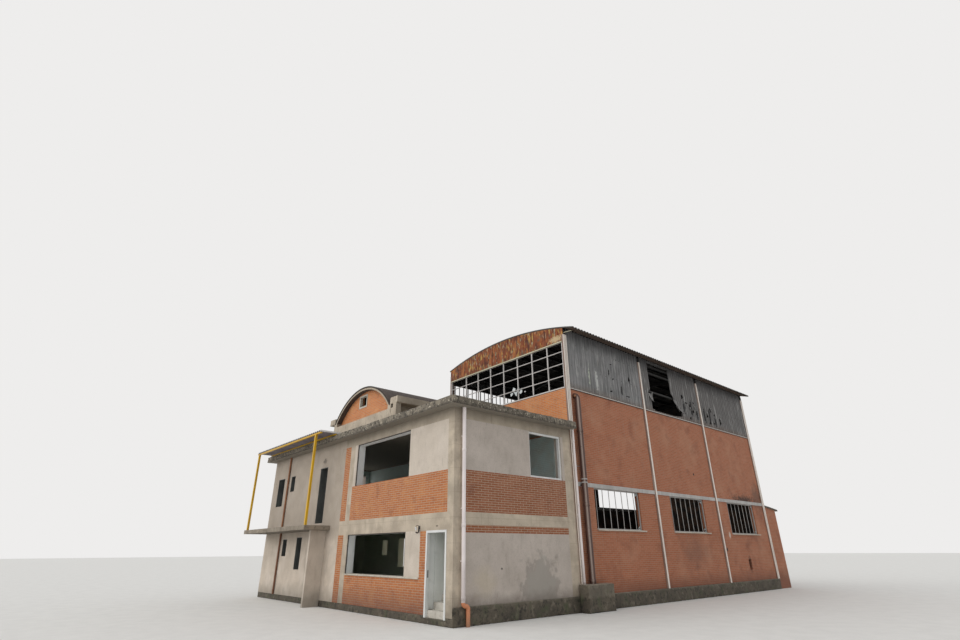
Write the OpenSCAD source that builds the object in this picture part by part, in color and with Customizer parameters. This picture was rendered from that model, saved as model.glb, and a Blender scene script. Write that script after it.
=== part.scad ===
// Factory building: a two-storey office block with a flat roof, a barrel-vaulted
// house on that roof, a tall steel-framed brick hall behind it and a low lean-to.
// Lengths are millimetres. Before the final shift the near corner of the office
// block is the reference: "along" runs left from it on the entrance front, "deep"
// runs back from it, "high" runs up from the yard.

/* [Office block] */
// Length of the entrance front, with the wing
front_len = 13600; // [13200:50:14500]
// Depth from the entrance front to the hall
block_d = 5130; // [5060:10:5600]
// Thickness of the outer walls
wall_t = 300; // [250:10:340]
// Top of the ground floors above the yard
floor_h = 150; // [100:10:180]
// Rise from the ground floor to the upper floor
storey_h = 2600; // [2520:20:2900]
// Rise from the upper floor to the underside of the flat roof
upper_h = 2880; // [2700:10:3200]
// Thickness of the upper floor
upper_floor_t = 180; // [140:10:250]
// Thickness of the flat roof
roof_slab_t = 240; // [200:10:400]
// Overhang of the flat roof
cornice_out = 350; // [200:10:450]
// Height of the concrete base under the entrance front
front_base_h = 200; // [190:5:300]
// Height of the concrete base under the side walls and the hall
base_h = 450; // [350:10:600]
// How far the side bases stand out from the wall
base_out = 40; // [10:5:60]

/* [Office frame] */
// Width of the corner column on the entrance front
corner_w = 280; // [220:10:360]
// Width of the corner column on the side wall
corner_d = 400; // [320:10:500]
// Width of the other columns
column_w = 320; // [200:10:360]
// Distance from the near corner to the second column
front_bay = 5890; // [5700:10:6000]
// Height of the floor beam on the entrance front
front_beam_h = 460; // [300:10:500]
// Height of the floor beam on the side wall
side_beam_h = 330; // [250:10:400]
// Height of the beam under the flat roof
top_beam_h = 300; // [180:10:350]
// Width of the brick strip beside the second column
strip_w = 400; // [250:10:500]
// Width of the far side column
far_column_d = 400; // [300:10:450]

/* [Office openings] */
// Width of the entrance doorway
door_w = 940; // [860:10:1000]
// Width of the brick pier left of the doorway
door_pier_w = 310; // [200:10:400]
// Width of the concrete pier right of the lower window
window_pier_w = 760; // [500:10:900]
// Height of the lower window sill above the yard
lower_sill_z = 1090; // [900:10:1300]
// Height of the upper window sill above the upper floor
upper_sill_h = 1130; // [900:10:1300]
// Width of the upper front window
upper_window_w = 3430; // [2800:10:3500]
// Width of the pale strip left of the upper front window
upper_jamb_w = 190; // [100:10:300]
// Width of the upper side window
side_window_w = 1540; // [1200:10:1800]
// Width of the pale strip beyond the side window
side_jamb_w = 120; // [80:10:300]
// Height of the thin brick strip under the side floor beam
side_strip_h = 200; // [130:10:260]
// Width of the frame bars in the doorway and the windows
frame_w = 60; // [40:5:80]
// Depth of the frame bars
frame_d = 90; // [50:5:120]
// Thickness of the window sills
sill_t = 40; // [30:5:60]
// How far the window sills stand out
sill_out = 60; // [30:5:100]

/* [Wing openings] */
// Distance from the near corner to the balcony door
wing_door_x = 8020; // [7900:10:8200]
// Width of the balcony door
wing_door_w = 650; // [550:10:800]
// Height of the balcony door
wing_door_h = 2060; // [1900:10:2150]
// Distance from the near corner to the narrow window
narrow_x = 9680; // [9400:10:10000]
// Width of the narrow window
narrow_w = 500; // [400:10:700]
// Height of the narrow window
narrow_h = 1160; // [900:10:1250]
// Distance from the near corner to the small windows
small_x = 11150; // [11000:10:11300]
// Width of the small windows
small_w = 420; // [300:10:480]
// Height of the small windows
small_h = 640; // [500:10:750]
// Distance of the last upper window from the left end
last_back = 600; // [450:10:700]
// Width of the last upper window
last_w = 700; // [500:10:800]
// Height of the last upper window
last_h = 1180; // [900:10:1300]
// Drop of the upper wing windows below the head of the other upper windows
wing_head_drop = 550; // [300:10:700]
// Drop of the lower small window below the floor beam
low_head_drop = 50; // [0:10:100]

/* [Stair] */
// Number of risers from the ground floor to the upper floor
risers = 15; // [14:1:16]
// Depth of a tread
tread = 280; // [250:5:290]
// Width of the flight
stair_w = 900; // [800:10:950]
// Thickness of the sloping slab under the steps
waist = 160; // [120:10:200]
// Thickness of the partition beside the flight
partition_t = 100; // [80:10:150]

/* [Balcony and canopy] */
// Distance from the near corner to the balcony
balcony_x = 7320; // [7200:10:7450]
// Projection of the balcony
balcony_out = 1000; // [900:10:1200]
// Thickness of the balcony
balcony_t = 160; // [120:10:200]
// Step down from the upper floor to the balcony
balcony_drop = 110; // [50:10:150]
// Distance from the near corner to the fin wall
fin_x = 7640; // [7500:10:7800]
// Thickness of the fin wall
fin_t = 120; // [100:10:200]
// Projection of the fin wall
fin_out = 580; // [400:10:800]
// Side of a canopy post
post_side = 80; // [60:5:100]
// Height of the canopy beam and of its batten on the roof edge
canopy_beam_h = 50; // [40:5:80]
// Projection of the canopy
canopy_out = 950; // [850:10:1100]

/* [Roof house] */
// Distance from the near corner to the middle of the roof house
vault_x = 5750; // [5500:10:5900]
// Half the width over the side walls
vault_half = 2125; // [2000:5:2200]
// Distance from the back of the vault to the hall
vault_back = 480; // [300:10:900]
// How far the gables stand back from the ends of the vault
gable_recess = 200; // [50:10:300]
// Thickness of its walls
vault_wall = 200; // [180:10:220]
// Height of the side walls above the flat roof
vault_wall_h = 580; // [450:10:700]
// Height of the concrete band under the gables
vault_band_h = 440; // [300:10:450]
// Outer radius of the vault
vault_r = 2550; // [2500:10:2700]
// Thickness of the vault
vault_t = 120; // [90:5:140]
// Width of the gutter beam beside the vault
gutter_w = 460; // [350:10:600]
// Height of the gutter beam
gutter_h = 230; // [130:10:260]
// Side of the pier under the near end of the gutter beam
pier_w = 210; // [150:10:300]
// Wall thickness of the gutter trough
gutter_wall = 60; // [40:5:80]
// Width of the window in the front gable
gable_window_w = 600; // [400:10:700]
// Height of the window in the front gable
gable_window_h = 500; // [400:10:560]
// Height of that window above the band
gable_window_rise = 490; // [350:10:500]
// Distance of that window from the middle of the gable, away from the yard
gable_window_off = 225; // [0:5:260]

/* [Hall] */
// Distance between post lines
bay = 4960; // [4800:20:5100]
// Number of bays
bays = 3; // [2:1:5]
// Width between the outer faces of the long brick walls
hall_w = 6860; // [6700:20:7400]
// Thickness of the brick between the posts
brick_t = 200; // [180:10:250]
// Width of a post along the wall
post_w = 190; // [150:10:260]
// How far the posts stand out of the brick
post_out = 60; // [20:5:60]
// How far the posts reach into the wall
post_in = 30; // [20:5:60]
// Wall thickness of the posts and beams
steel_t = 12; // [8:1:20]
// Height of the underside of the wall beam
mid_beam_z = 3760; // [3600:20:4000]
// Height of the wall beam
mid_beam_h = 140; // [100:10:200]
// Height of the top of the brick
brick_top = 7180; // [6900:20:7400]
// Height of the rail on top of the brick
rail_h = 45; // [45:5:100]
// Height of the tops of the posts
post_top = 9300; // [9250:10:9310]
// Width of the hall windows
hall_window_w = 2750; // [2200:10:3200]
// Height of the hall window sills
hall_sill_z = 2410; // [2000:10:2600]
// Distance from the middle of a bay to the middle of its window
hall_window_off = 90; // [0:10:200]
// How much longer the sill is than its window, at the far side
sill_extra = 180; // [50:10:300]
// Height of the opening above the wall beam in the last bay of the far side
far_gap_h = 1400; // [900:20:2000]
// Distance of that opening from the posts
far_gap_in = 150; // [50:10:400]
// Width of the vent knocked through the last bay
vent_w = 250; // [150:10:400]
// Height of the vent
vent_h = 430; // [200:10:500]
// Distance from the last post line to the vent
vent_back = 2800; // [2500:50:3300]

/* [Hall roof] */
// Radius of the roof over the sheet
roof_r = 13600; // [13560:5:13660]
// Height of the crown of the roof
crown_z = 10080; // [10060:2:10120]
// Overhang of the roof on the yard side
eave_near = 500; // [300:10:600]
// Overhang of the roof on the far side
eave_far = 110; // [80:10:300]
// Spacing of the waves of the corrugated sheets
wave_pitch = 177; // [130:1:220]
// Height of the waves
wave_h = 57; // [25:1:60]
// Thickness of a corrugated sheet
sheet_t = 8; // [6:1:10]
// Depth of the arched ribs
rib_h = 200; // [150:10:220]
// Thickness of the arched ribs
rib_w = 120; // [80:10:160]
// Depth of the roof purlins
purlin_h = 80; // [60:5:90]
// Width of the roof purlins
purlin_w = 60; // [50:5:90]
// Number of roof purlins
purlins = 9; // [7:2:11]
// Depth of the cladding rails
girt_d = 80; // [60:5:100]
// Height of the cladding rails
girt_h = 60; // [50:5:80]
// Height of the upper cladding rail
upper_girt_z = 8970; // [8800:10:9050]
// Height of the lower cladding rail
lower_girt_z = 8100; // [7900:10:8300]
// Height of the head of the long window on the far side
ribbon_head_z = 8920; // [8600:10:8950]

/* [Gable grid] */
// Height of the head of the steel grid
grid_head_z = 9020; // [8900:10:9100]
// Height of the grid's outer bars
grid_frame = 40; // [30:5:60]
// Depth of the grid bars
grid_d = 60; // [40:5:100]
// Width of the upright bars
mullion_w = 70; // [40:5:90]
// Number of upright bars
mullions = 7; // [5:1:9]
// Width of the level bars
transom_w = 40; // [25:5:60]
// Number of level bars
transoms = 3; // [2:1:4]
// Spacing of the level bars
transom_pitch = 490; // [400:10:500]
// Distance from the grid's head down to the first level bar
transom_drop = 320; // [250:10:360]
// Thickness of the sheet over the grid
gable_sheet_t = 20; // [10:2:30]
// How far the grid and the sheet stand back from the face of the posts
gable_inset = 5; // [0:1:10]

/* [Pipes] */
// Diameter of the corner downpipe
corner_pipe_d = 110; // [90:5:140]
// Distance of the corner downpipe from the entrance front
corner_pipe_y = 275; // [220:5:320]
// Diameter of the thin downpipes
thin_pipe_d = 75; // [60:5:110]
// Distance of the thin downpipe beyond the office block
thin_pipe_y = 60; // [60:5:110]
// Diameter of the large pipe on the hall
large_pipe_d = 200; // [150:10:220]
// Distance of the large pipe beyond the office block
large_pipe_y = 445; // [430:5:500]
// Height of the top of the large pipe
large_pipe_z = 6950; // [6500:10:7050]
// Clearance between a pipe and the wall, or a hole that it passes
pipe_gap = 10; // [5:1:20]
// Distance from the near corner to the wing downpipe
wing_pipe_x = 11800; // [11750:10:12000]
// Height of the block that the large pipe stands on
block_h = 780; // [600:10:900]
// Length of that block beyond the office block
block_len = 1170; // [950:10:1500]
// How far that block reaches back under the thin downpipe
block_front = 150; // [150:10:300]
// Projection of that block
block_out = 360; // [300:10:600]

/* [Lean-to] */
// Depth of the lean-to behind the hall
leanto_d = 1300; // [1000:10:2500]
// Height of its roof against the hall
leanto_z = 3740; // [3500:10:3750]
// Fall of its roof for each metre back
leanto_fall = 110; // [60:5:150]
// Thickness of its roof
leanto_roof_t = 80; // [50:5:120]
// Overhang of its roof
leanto_out = 250; // [100:10:350]

/* [Hidden] */
$fn = 48;

// Levels of the office block
upper_z = floor_h + storey_h;
slab_z = upper_z + upper_h;
roof_z = slab_z + roof_slab_t;
front_head_z = upper_z - front_beam_h;
side_head_z = upper_z - side_beam_h;
upper_sill_z = upper_z + upper_sill_h;
upper_head_z = slab_z - top_beam_h;
wing_head_z = upper_head_z - wing_head_drop;
inner_d = block_d - wall_t;

// Places along the entrance front, from the near corner
door_x = corner_w;
door_pier_x = door_x + door_w;
window_pier_x = door_pier_x + door_pier_w;
lower_window_x = window_pier_x + window_pier_w;
upper_window_x = front_bay - upper_jamb_w - upper_window_w;
second_x = front_bay + column_w;
wing_x = second_x + strip_w;
last_x = front_len - last_back - last_w;
far_column_y = block_d - far_column_d;
side_window_y = far_column_y - side_jamb_w - side_window_w;

// Hall outline
hall_y = block_d;
hall_len = bays * bay + post_w;
hall_back = hall_y + hall_len;
hall_far = hall_w + post_out;
annex_x = hall_w - brick_t;
wall_beam_top = mid_beam_z + mid_beam_h;
cladding_z = brick_top + rail_h;
vault_z = roof_z + vault_wall_h;
vault_len = block_d - vault_back;
vault_axis_z = vault_z - sqrt(vault_r * vault_r - pow(vault_half - vault_wall / 4, 2));

// Stair
riser = storey_h / risers;
stair_x = wall_t;
step_y = 60;
flight_end = wall_t + (risers - 2) * tread;
bearing = 200;

// Roof arc: its axis lies under the middle of the hall
axis_x = hall_w / 2;
axis_z = crown_z - roof_r;
sheet_h = wave_h + sheet_t;
purlin_top_r = roof_r - sheet_h;
rib_top_r = purlin_top_r - purlin_h;
gable_sheet_back = hall_y + gable_inset + gable_sheet_t;

// The part stands with the middle of its box on the origin
box_left = front_len + cornice_out;
box_right = max(eave_near, cornice_out, post_out + block_out);
box_front = max(balcony_out, canopy_out);
box_back = hall_back + leanto_d + leanto_out;
shift_x = (box_left - box_right) / 2;
shift_y = (box_front - box_back) / 2;

// A box from its ranges along, deep and high
module block(along, deep, high) {
    translate([-along[1], deep[0], high[0]])
        cube([along[1] - along[0], deep[1] - deep[0], high[1] - high[0]]);
}

// A profile drawn as (deep, high) and drawn out over a range along the front
module across(along) {
    translate([-along[1], 0, 0]) rotate([90, 0, 90])
        linear_extrude(along[1] - along[0]) children();
}

// A profile drawn as (along, high) and drawn out over a range deep
module back(deep) {
    translate([0, deep[1], 0]) rotate([90, 0, 0])
        linear_extrude(deep[1] - deep[0]) mirror([1, 0, 0]) children();
}

// Points of a wave: each wave has a crest, a trough and two flanks
function wave(i, lift) =
    let (x = i * wave_pitch)
    [[x, lift], [x + wave_pitch * 0.18, lift],
     [x + wave_pitch * 0.5, lift + wave_h], [x + wave_pitch * 0.68, lift + wave_h]];

// A corrugated sheet's profile, cut to a length
module wavy(length) {
    n = ceil(length / wave_pitch) + 1;
    low = [for (i = [0:n - 1], p = wave(i, 0)) p];
    high = [for (i = [n - 1:-1:0], k = [3:-1:0]) wave(i, sheet_t)[k]];
    intersection() {
        polygon(concat(low, high));
        translate([0, -1]) square([length, wave_h + sheet_t + 2]);
    }
}

// A ring of rectangular bars that fills an opening, in (width, height)
module ring(w, h, bar) {
    difference() {
        square([w, h]);
        translate([bar, bar]) square([w - 2 * bar, h - 2 * bar]);
    }
}

// Solids of the far long wall of the hall, drawn for the near one
module far_wall() translate([-hall_w, 0, 0]) mirror([1, 0, 0]) children();

module both_long_walls() {
    children();
    far_wall() children();
}

// Solids that repeat at both ends of the hall, drawn for the front one
module both_ends() {
    children();
    translate([0, 2 * hall_y + hall_len, 0]) mirror([0, 1, 0]) children();
}

// Where bay i of the hall begins and ends, between its posts
function bay_span(i) = [hall_y + i * bay + post_w, hall_y + (i + 1) * bay];
function post_line(i) = hall_y + i * bay + post_w / 2;
function window_mid(i) = post_line(i) + bay / 2 - hall_window_off;

// A ring about the roof axis, from one angle to another, over a range deep
module roof_arc(radii, angles, deep) {
    translate([-axis_x, deep[0], axis_z]) rotate([-90, 0, 0]) rotate([0, 0, angles[0] - 90])
        rotate_extrude(angle = angles[1] - angles[0], $fn = 1440)
            translate([radii[0], 0]) square([radii[1] - radii[0], deep[1] - deep[0]]);
}

module office_base() color("dimgray") {
    difference() {
        union() {
            block([0, front_len], [0, wall_t], [0, front_base_h]);
            block([-base_out, 0], [0, wall_t], [0, base_h]);
            block([-base_out, wall_t], [wall_t, block_d], [0, base_h]);
            block([front_len - wall_t, front_len + base_out], [wall_t, block_d], [0, base_h]);
            block([annex_x, front_len], [inner_d, block_d], [0, front_base_h]);
        }
        block([door_x, door_pier_x], [-1, wall_t + 1], [floor_h, base_h]);
    }
}

module room_outline(high) {
    block([wall_t, annex_x], [wall_t, block_d], high);
    block([wall_t, front_len - wall_t], [wall_t, inner_d], high);
}

module office_floor() color("gray") room_outline([0, floor_h]);

module upper_floor() color("gray") difference() {
    room_outline([upper_z - upper_floor_t, upper_z]);
    block([stair_x - 1, stair_x + stair_w], [wall_t - 1, flight_end], [0, upper_z + 1]);
}

module office_frame() color("lightgray") {
    block([0, corner_w], [0, wall_t], [front_base_h, slab_z]);
    block([0, wall_t], [wall_t, corner_d], [base_h, slab_z]);
    block([front_bay, second_x], [0, wall_t], [front_base_h, slab_z]);
    block([0, wall_t], [far_column_y, block_d], [base_h, slab_z]);
    block([0, wing_x], [0, wall_t], [front_head_z, upper_z]);
    block([0, wing_x], [0, wall_t], [upper_head_z, slab_z]);
    block([0, wall_t], [0, block_d], [side_head_z, upper_z]);
    block([0, wall_t], [0, block_d], [upper_head_z, slab_z]);
}

module front_brick_panels() color("peru") {
    block([door_pier_x, front_bay], [0, wall_t], [front_base_h, lower_sill_z - sill_t]);
    block([door_pier_x, window_pier_x], [0, wall_t], [front_base_h, front_head_z]);
    block([corner_w, front_bay], [0, wall_t], [upper_z, upper_sill_z]);
    block([second_x, wing_x], [0, wall_t], [front_base_h, front_head_z]);
    block([second_x, wing_x], [0, wall_t], [upper_z, upper_head_z]);
}

module side_brick_panels() color("sienna") {
    side = [corner_d, far_column_y];
    block([0, wall_t], side, [side_head_z - side_strip_h, side_head_z]);
    block([0, wall_t], side, [upper_z, upper_sill_z]);
}

module front_plaster_panels() color("gainsboro") {
    block([window_pier_x, lower_window_x], [0, wall_t], [lower_sill_z, front_head_z]);
    block([corner_w, upper_window_x], [0, wall_t], [upper_sill_z, upper_head_z]);
    block([front_bay - upper_jamb_w, front_bay], [0, wall_t], [upper_sill_z, upper_head_z]);
}

module side_plaster_panels() color("silver") {
    block([0, wall_t], [corner_d, far_column_y], [base_h, side_head_z - side_strip_h]);
    block([0, wall_t], [corner_d, side_window_y], [upper_sill_z, upper_head_z]);
    block([0, wall_t], [far_column_y - side_jamb_w, far_column_y], [upper_sill_z, upper_head_z]);
}

// The small openings of the wing, one above the other, cut through a wall
module wing_windows(deep) {
    block([narrow_x, narrow_x + narrow_w], deep, [front_head_z - narrow_h, front_head_z]);
    for (head = [front_head_z - low_head_drop, wing_head_z])
        block([small_x, small_x + small_w], deep, [head - small_h, head]);
}

module wing_front_wall() color("gainsboro") difference() {
    block([wing_x, front_len], [0, wall_t], [front_base_h, slab_z]);
    wing_windows([-1, wall_t + 1]);
    block([wing_door_x, wing_door_x + wing_door_w], [-1, wall_t + 1],
          [upper_z, upper_z + wing_door_h]);
    block([last_x, last_x + last_w], [-1, wall_t + 1],
          [wing_head_z - last_h, wing_head_z]);
}

module wing_end_wall() color("silver") difference() {
    block([front_len - wall_t, front_len], [wall_t, block_d], [base_h, slab_z]);
    block([front_len - wall_t - 1, front_len + 1], [side_window_y, side_window_y + side_window_w],
          [upper_sill_z, upper_head_z]);
}

module wing_back_wall() color("silver") difference() {
    block([annex_x, front_len - wall_t], [inner_d, block_d], [front_base_h, slab_z]);
    wing_windows([inner_d - 1, block_d + 1]);
}

module office_roof() color("darkgray") {
    block([-cornice_out, front_len + cornice_out], [-cornice_out, block_d], [slab_z, roof_z]);
    block([hall_far, front_len + cornice_out], [-cornice_out, block_d + cornice_out],
          [slab_z, roof_z]);
}

module stair_partition() color("whitesmoke")
    block([stair_x + stair_w, stair_x + stair_w + partition_t], [wall_t, flight_end + bearing],
          [floor_h, upper_z - upper_floor_t]);

// Steps 2 and up rise behind the wall; the first one fills the doorway
module stair_flight() color("gray") {
    steps = [for (k = [2:risers - 1], p = [
        [wall_t + (k - 2) * tread, floor_h + k * riser],
        [wall_t + (k - 1) * tread, floor_h + k * riser]]) p];
    under = upper_z - upper_floor_t;
    across([stair_x, stair_x + stair_w])
        polygon(concat(
            [[wall_t, floor_h]], steps,
            [[flight_end, under], [flight_end + bearing, under],
             [flight_end + bearing, under - waist], [wall_t + tread + waist, floor_h]]));
}

module door_step() color("lightgray")
    block([door_x + frame_w, door_pier_x - frame_w], [step_y, wall_t], [floor_h, floor_h + riser]);

module door_frame() color("white") difference() {
    block([door_x, door_pier_x], [-frame_d / 6, frame_d], [floor_h, front_head_z]);
    block([door_x + frame_w, door_pier_x - frame_w], [-frame_d, 2 * frame_d],
          [floor_h - 1, front_head_z - frame_w]);
}

module front_window_sill() color("white")
    block([window_pier_x, front_bay], [-sill_out / 2, wall_t],
          [lower_sill_z - sill_t, lower_sill_z]);

module side_window_frame() color("white")
    difference() {
        block([frame_d / 2, frame_d * 3 / 2], [side_window_y, side_window_y + side_window_w],
              [upper_sill_z, upper_head_z]);
        block([0, 2 * frame_d], [side_window_y + frame_w, side_window_y + side_window_w - frame_w],
              [upper_sill_z + frame_w, upper_head_z - frame_w]);
    }

balcony_z = upper_z - balcony_drop;

module balcony() color("gray") difference() {
    block([balcony_x, front_len], [-balcony_out, 0], [balcony_z - balcony_t, balcony_z]);
    translate([-wing_pipe_x, -wing_pipe_y, 0])
        cylinder(h = upper_z, r = thin_pipe_d / 2 + pipe_gap / 2);
}

module balcony_fin() color("lightgray")
    block([fin_x, fin_x + fin_t], [-fin_out, 0], [0, balcony_z - balcony_t]);

// Two steel posts, the beam that they carry and the batten on the roof edge
module canopy_frame() color("goldenrod") {
    beam_z = roof_z;
    line = [-canopy_out + 10, -canopy_out + 10 + post_side];
    for (x = [balcony_x + 100, front_len - 2 * post_side])
        block([x, x + post_side], line, [balcony_z, beam_z]);
    block([canopy_x, front_len], line, [beam_z, beam_z + canopy_beam_h]);
    block([canopy_x, front_len], [-cornice_out + 20, -cornice_out + 20 + post_side],
          [beam_z, beam_z + canopy_beam_h]);
}

canopy_x = balcony_x - 300;

module canopy_sheet() color("slategray")
    translate([0, 0, roof_z + canopy_beam_h]) back([-canopy_out, 0])
        translate([canopy_x - 20, 0]) wavy(front_len - canopy_x + 20);

// Concrete ring on the flat roof; its long sides rise to the springing
module roof_house_base() color("darkgray") {
    sides = vault_half - vault_wall;
    for (s = [-1, 1]) {
        near = vault_x + (s > 0 ? sides : -vault_half);
        block([near, near + vault_wall], [0, vault_len], [roof_z, vault_z]);
    }
    for (y = [0, vault_len - gable_back])
        block([vault_x - sides, vault_x + sides], [y, y + gable_back],
              [roof_z, roof_z + vault_band_h]);
}

gable_back = gable_recess + vault_wall;

module gable_shape() intersection() {
    translate([vault_x, vault_axis_z]) circle(r = vault_r - vault_t, $fn = 180);
    translate([vault_x - vault_half + vault_wall, roof_z + vault_band_h])
        square([2 * (vault_half - vault_wall), vault_r]);
}

gable_window_x = vault_x + gable_window_off - gable_window_w / 2;
gable_window_z = roof_z + vault_band_h + gable_window_rise;

module roof_house_gables() color("chocolate") {
    back([gable_recess, gable_back]) difference() {
        gable_shape();
        translate([gable_window_x, gable_window_z]) square([gable_window_w, gable_window_h]);
    }
    back([vault_len - gable_back, vault_len - gable_recess]) gable_shape();
}

// Each gutter beam lies on a side wall. A short pier stands under both ends of
// the near one, joined to the concrete ring.
module roof_house_gutters() color("darkgray") {
    inner = vault_half - vault_wall / 4;
    for (s = [-1, 1]) {
        near = vault_x + (s > 0 ? inner : -inner - gutter_w);
        difference() {
            block([near, near + gutter_w], [0, vault_len], [vault_z, vault_z + gutter_h]);
            block([near + gutter_wall, near + gutter_w - gutter_wall],
                  [gutter_wall, vault_len - gutter_wall],
                  [vault_z + gutter_wall, vault_z + gutter_h + 1]);
        }
    }
    pier = vault_x - inner - gutter_w + gutter_wall;
    for (y = [0, vault_len - pier_w]) {
        block([pier, pier + pier_w], [y, y + pier_w], [roof_z, vault_z]);
        block([pier, vault_x - vault_half], [y, y + pier_w], [roof_z, roof_z + vault_band_h]);
    }
}

module roof_house_vault() color("gray") {
    back([0, vault_len]) intersection() {
        translate([vault_x, vault_axis_z]) difference() {
            circle(r = vault_r, $fn = 180);
            circle(r = vault_r - vault_t, $fn = 180);
        }
        translate([vault_x - vault_r, vault_z]) square([2 * vault_r, vault_r]);
    }
}

module roof_house_window() color("white")
    back([gable_recess - frame_d / 6, gable_recess + frame_d])
        translate([gable_window_x, gable_window_z])
        ring(gable_window_w, gable_window_h, frame_w);

// A bracket lamp on the floor beam beside the doorway
lamp_x = window_pier_x + 70;
lamp_z = front_head_z + 70;

module wall_lamp() color("darkslategray") {
    block([lamp_x - 40, lamp_x + 40], [-30, 0], [lamp_z - 40, lamp_z + 40]);
    translate([-lamp_x, -20, lamp_z]) rotate([90, 0, 0]) cylinder(h = 120, r = 14);
    translate([-lamp_x, -150, lamp_z - 40]) cylinder(h = 60, r1 = 70, r2 = 25);
}

// A straight pipe with clips that reach back to the wall, drawn for the side wall
module pipe(d, span, clips, reach) {
    translate([0, 0, span[0]]) cylinder(h = span[1] - span[0], r = d / 2);
    for (z = clips) translate([-reach, -clip_w / 2, z]) cube([reach, clip_w, clip_w]);
}

corner_pipe_out = base_out + pipe_gap + corner_pipe_d / 2;
thin_pipe_out = post_out + pipe_gap + thin_pipe_d / 2;
wing_pipe_y = pipe_gap + thin_pipe_d / 2;
elbow_r = corner_pipe_d * 0.75;
elbow_z = base_h + 20;
clip_w = 40;

module white_downpipes() color("white") {
    clips = [upper_sill_z + 900, upper_z + 60, lower_sill_z + 400];
    translate([corner_pipe_out, corner_pipe_y, 0])
        pipe(corner_pipe_d, [elbow_z + elbow_r, slab_z], clips, corner_pipe_out);
    translate([thin_pipe_out, hall_y + thin_pipe_y, 0])
        pipe(thin_pipe_d, [block_h, slab_z], clips, thin_pipe_out - post_out);
}

// An elbow turns the corner downpipe back along the wall, then it drops
module corner_drain() color("coral") {
    r = corner_pipe_d / 2;
    translate([corner_pipe_out, corner_pipe_y, 0]) {
        for (turn = [0, 180]) translate([0, elbow_r, elbow_z + (turn ? elbow_r : -elbow_r)])
            rotate([90, 0, 90]) rotate([0, 0, turn]) rotate_extrude(angle = 90)
                translate([elbow_r, 0]) circle(r = r);
        translate([0, 2 * elbow_r, 0]) cylinder(h = elbow_z - elbow_r, r = r);
    }
}

module wing_downpipe() color("saddlebrown")
    translate([-wing_pipe_x, -wing_pipe_y, 0]) rotate([0, 0, -90])
        pipe(thin_pipe_d, [front_base_h, slab_z], [lower_sill_z, upper_z + 600], wing_pipe_y);

module hall_base() color("dimgray") difference() {
    block([-post_out, hall_far], [hall_y, hall_back], [0, base_h]);
    block([wall_t, hall_w - wall_t], [hall_y + wall_t, hall_back - wall_t], [-1, base_h + 1]);
}

module hall_floor() color("gray")
    block([wall_t, hall_w - wall_t], [hall_y + wall_t, hall_back - wall_t], [0, floor_h]);

module pipe_block() color("gray")
    block([-post_out - block_out, -post_out], [hall_y - block_front, hall_y + block_len],
          [0, block_h]);

// Hollow steel posts, on both long walls at every post line
module hall_posts() color("lightsteelblue") {
    for (i = [0:bays]) both_long_walls() difference() {
        deep = [post_line(i) - post_w / 2, post_line(i) + post_w / 2];
        block([-post_out, post_in], deep, [base_h, post_top]);
        block([-post_out + steel_t, post_in - steel_t], [deep[0] + steel_t, deep[1] - steel_t],
              [base_h - 1, post_top - steel_t]);
    }
}

// A channel whose flat face looks out and whose flanges carry the brick
module channel(deep, z, h) {
    difference() {
        block([-post_out / 2, brick_t], deep, [z, z + h]);
        block([-post_out / 2 + steel_t, brick_t + 1], [deep[0] - 1, deep[1] + 1],
              [z + steel_t, z + h - steel_t]);
    }
}

module wall_beams() color("lightsteelblue")
    for (i = [0:bays - 1]) both_long_walls() channel(bay_span(i), mid_beam_z, mid_beam_h);

module wall_top_rails() color("lightsteelblue") {
    for (i = [0:bays - 1]) both_long_walls() channel(bay_span(i), brick_top, rail_h);
    both_ends() block([post_in, hall_w - post_in], [hall_y, hall_y + post_w],
                      [brick_top, cladding_z]);
}

module girt(deep, z) block([post_in, post_in + girt_d], deep, [z, z + girt_h]);

// Rails behind the posts: two on the near side, one at the head of the far window
// and one between the ribs at each eave
module cladding_rails() color("slategray") {
    gap = gable_inset + grid_d;
    whole = [hall_y + gap, hall_back - gap];
    girt(whole, lower_girt_z);
    girt(whole, upper_girt_z);
    far_wall() girt(whole, ribbon_head_z);
    for (i = [0:bays - 1]) both_long_walls()
        girt([post_line(i) + rib_w / 2, post_line(i + 1) - rib_w / 2], post_top);
}

module hall_end_walls() color("sienna") both_ends()
    block([post_in, hall_w - post_in], [hall_y, hall_y + post_w], [base_h, brick_top]);

// Brick of one long wall: between the posts, and behind the inner ones
module long_wall(high, behind) {
    for (i = [0:bays - 1]) block([0, brick_t], bay_span(i), high);
    for (i = [1:bays - 1])
        block([post_in, brick_t], [bay_span(i - 1)[1] - 1, bay_span(i)[0] + 1], behind);
}

function window_span(i) = [window_mid(i) - hall_window_w / 2, window_mid(i) + hall_window_w / 2];

module window_gap(i) block([-1, brick_t + 1], window_span(i), [hall_sill_z, mid_beam_z + 1]);

// Brick under the wall beam: a window in every bay, but none in the last bay of
// the far side, and a vent through the last bay of the near side
module lower_brick() color("sienna") difference() {
    both_long_walls() long_wall([base_h, mid_beam_z], [base_h, wall_beam_top]);
    for (i = [0:bays - 1]) window_gap(i);
    far_wall() for (i = [0:bays - 2]) window_gap(i);
    vent_y = post_line(bays) - vent_back;
    block([-1, brick_t + 1], [vent_y, vent_y + vent_w], [2 * base_h, 2 * base_h + vent_h]);
}

module upper_brick() color("sienna") difference() {
    both_long_walls() long_wall([wall_beam_top, brick_top], [wall_beam_top, brick_top]);
    last = bay_span(bays - 1);
    far_wall() block([-1, brick_t + 1], [last[0] + far_gap_in, last[1] - far_gap_in],
                     [wall_beam_top - 1, wall_beam_top + far_gap_h]);
}

module window_sill(i) block([-sill_out, 0], window_span(i) + [0, sill_extra],
                            [hall_sill_z - sill_t, hall_sill_z]);

module hall_window_sills() color("silver") {
    for (i = [0:bays - 1]) window_sill(i);
    far_wall() for (i = [0:bays - 2]) window_sill(i);
}

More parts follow.
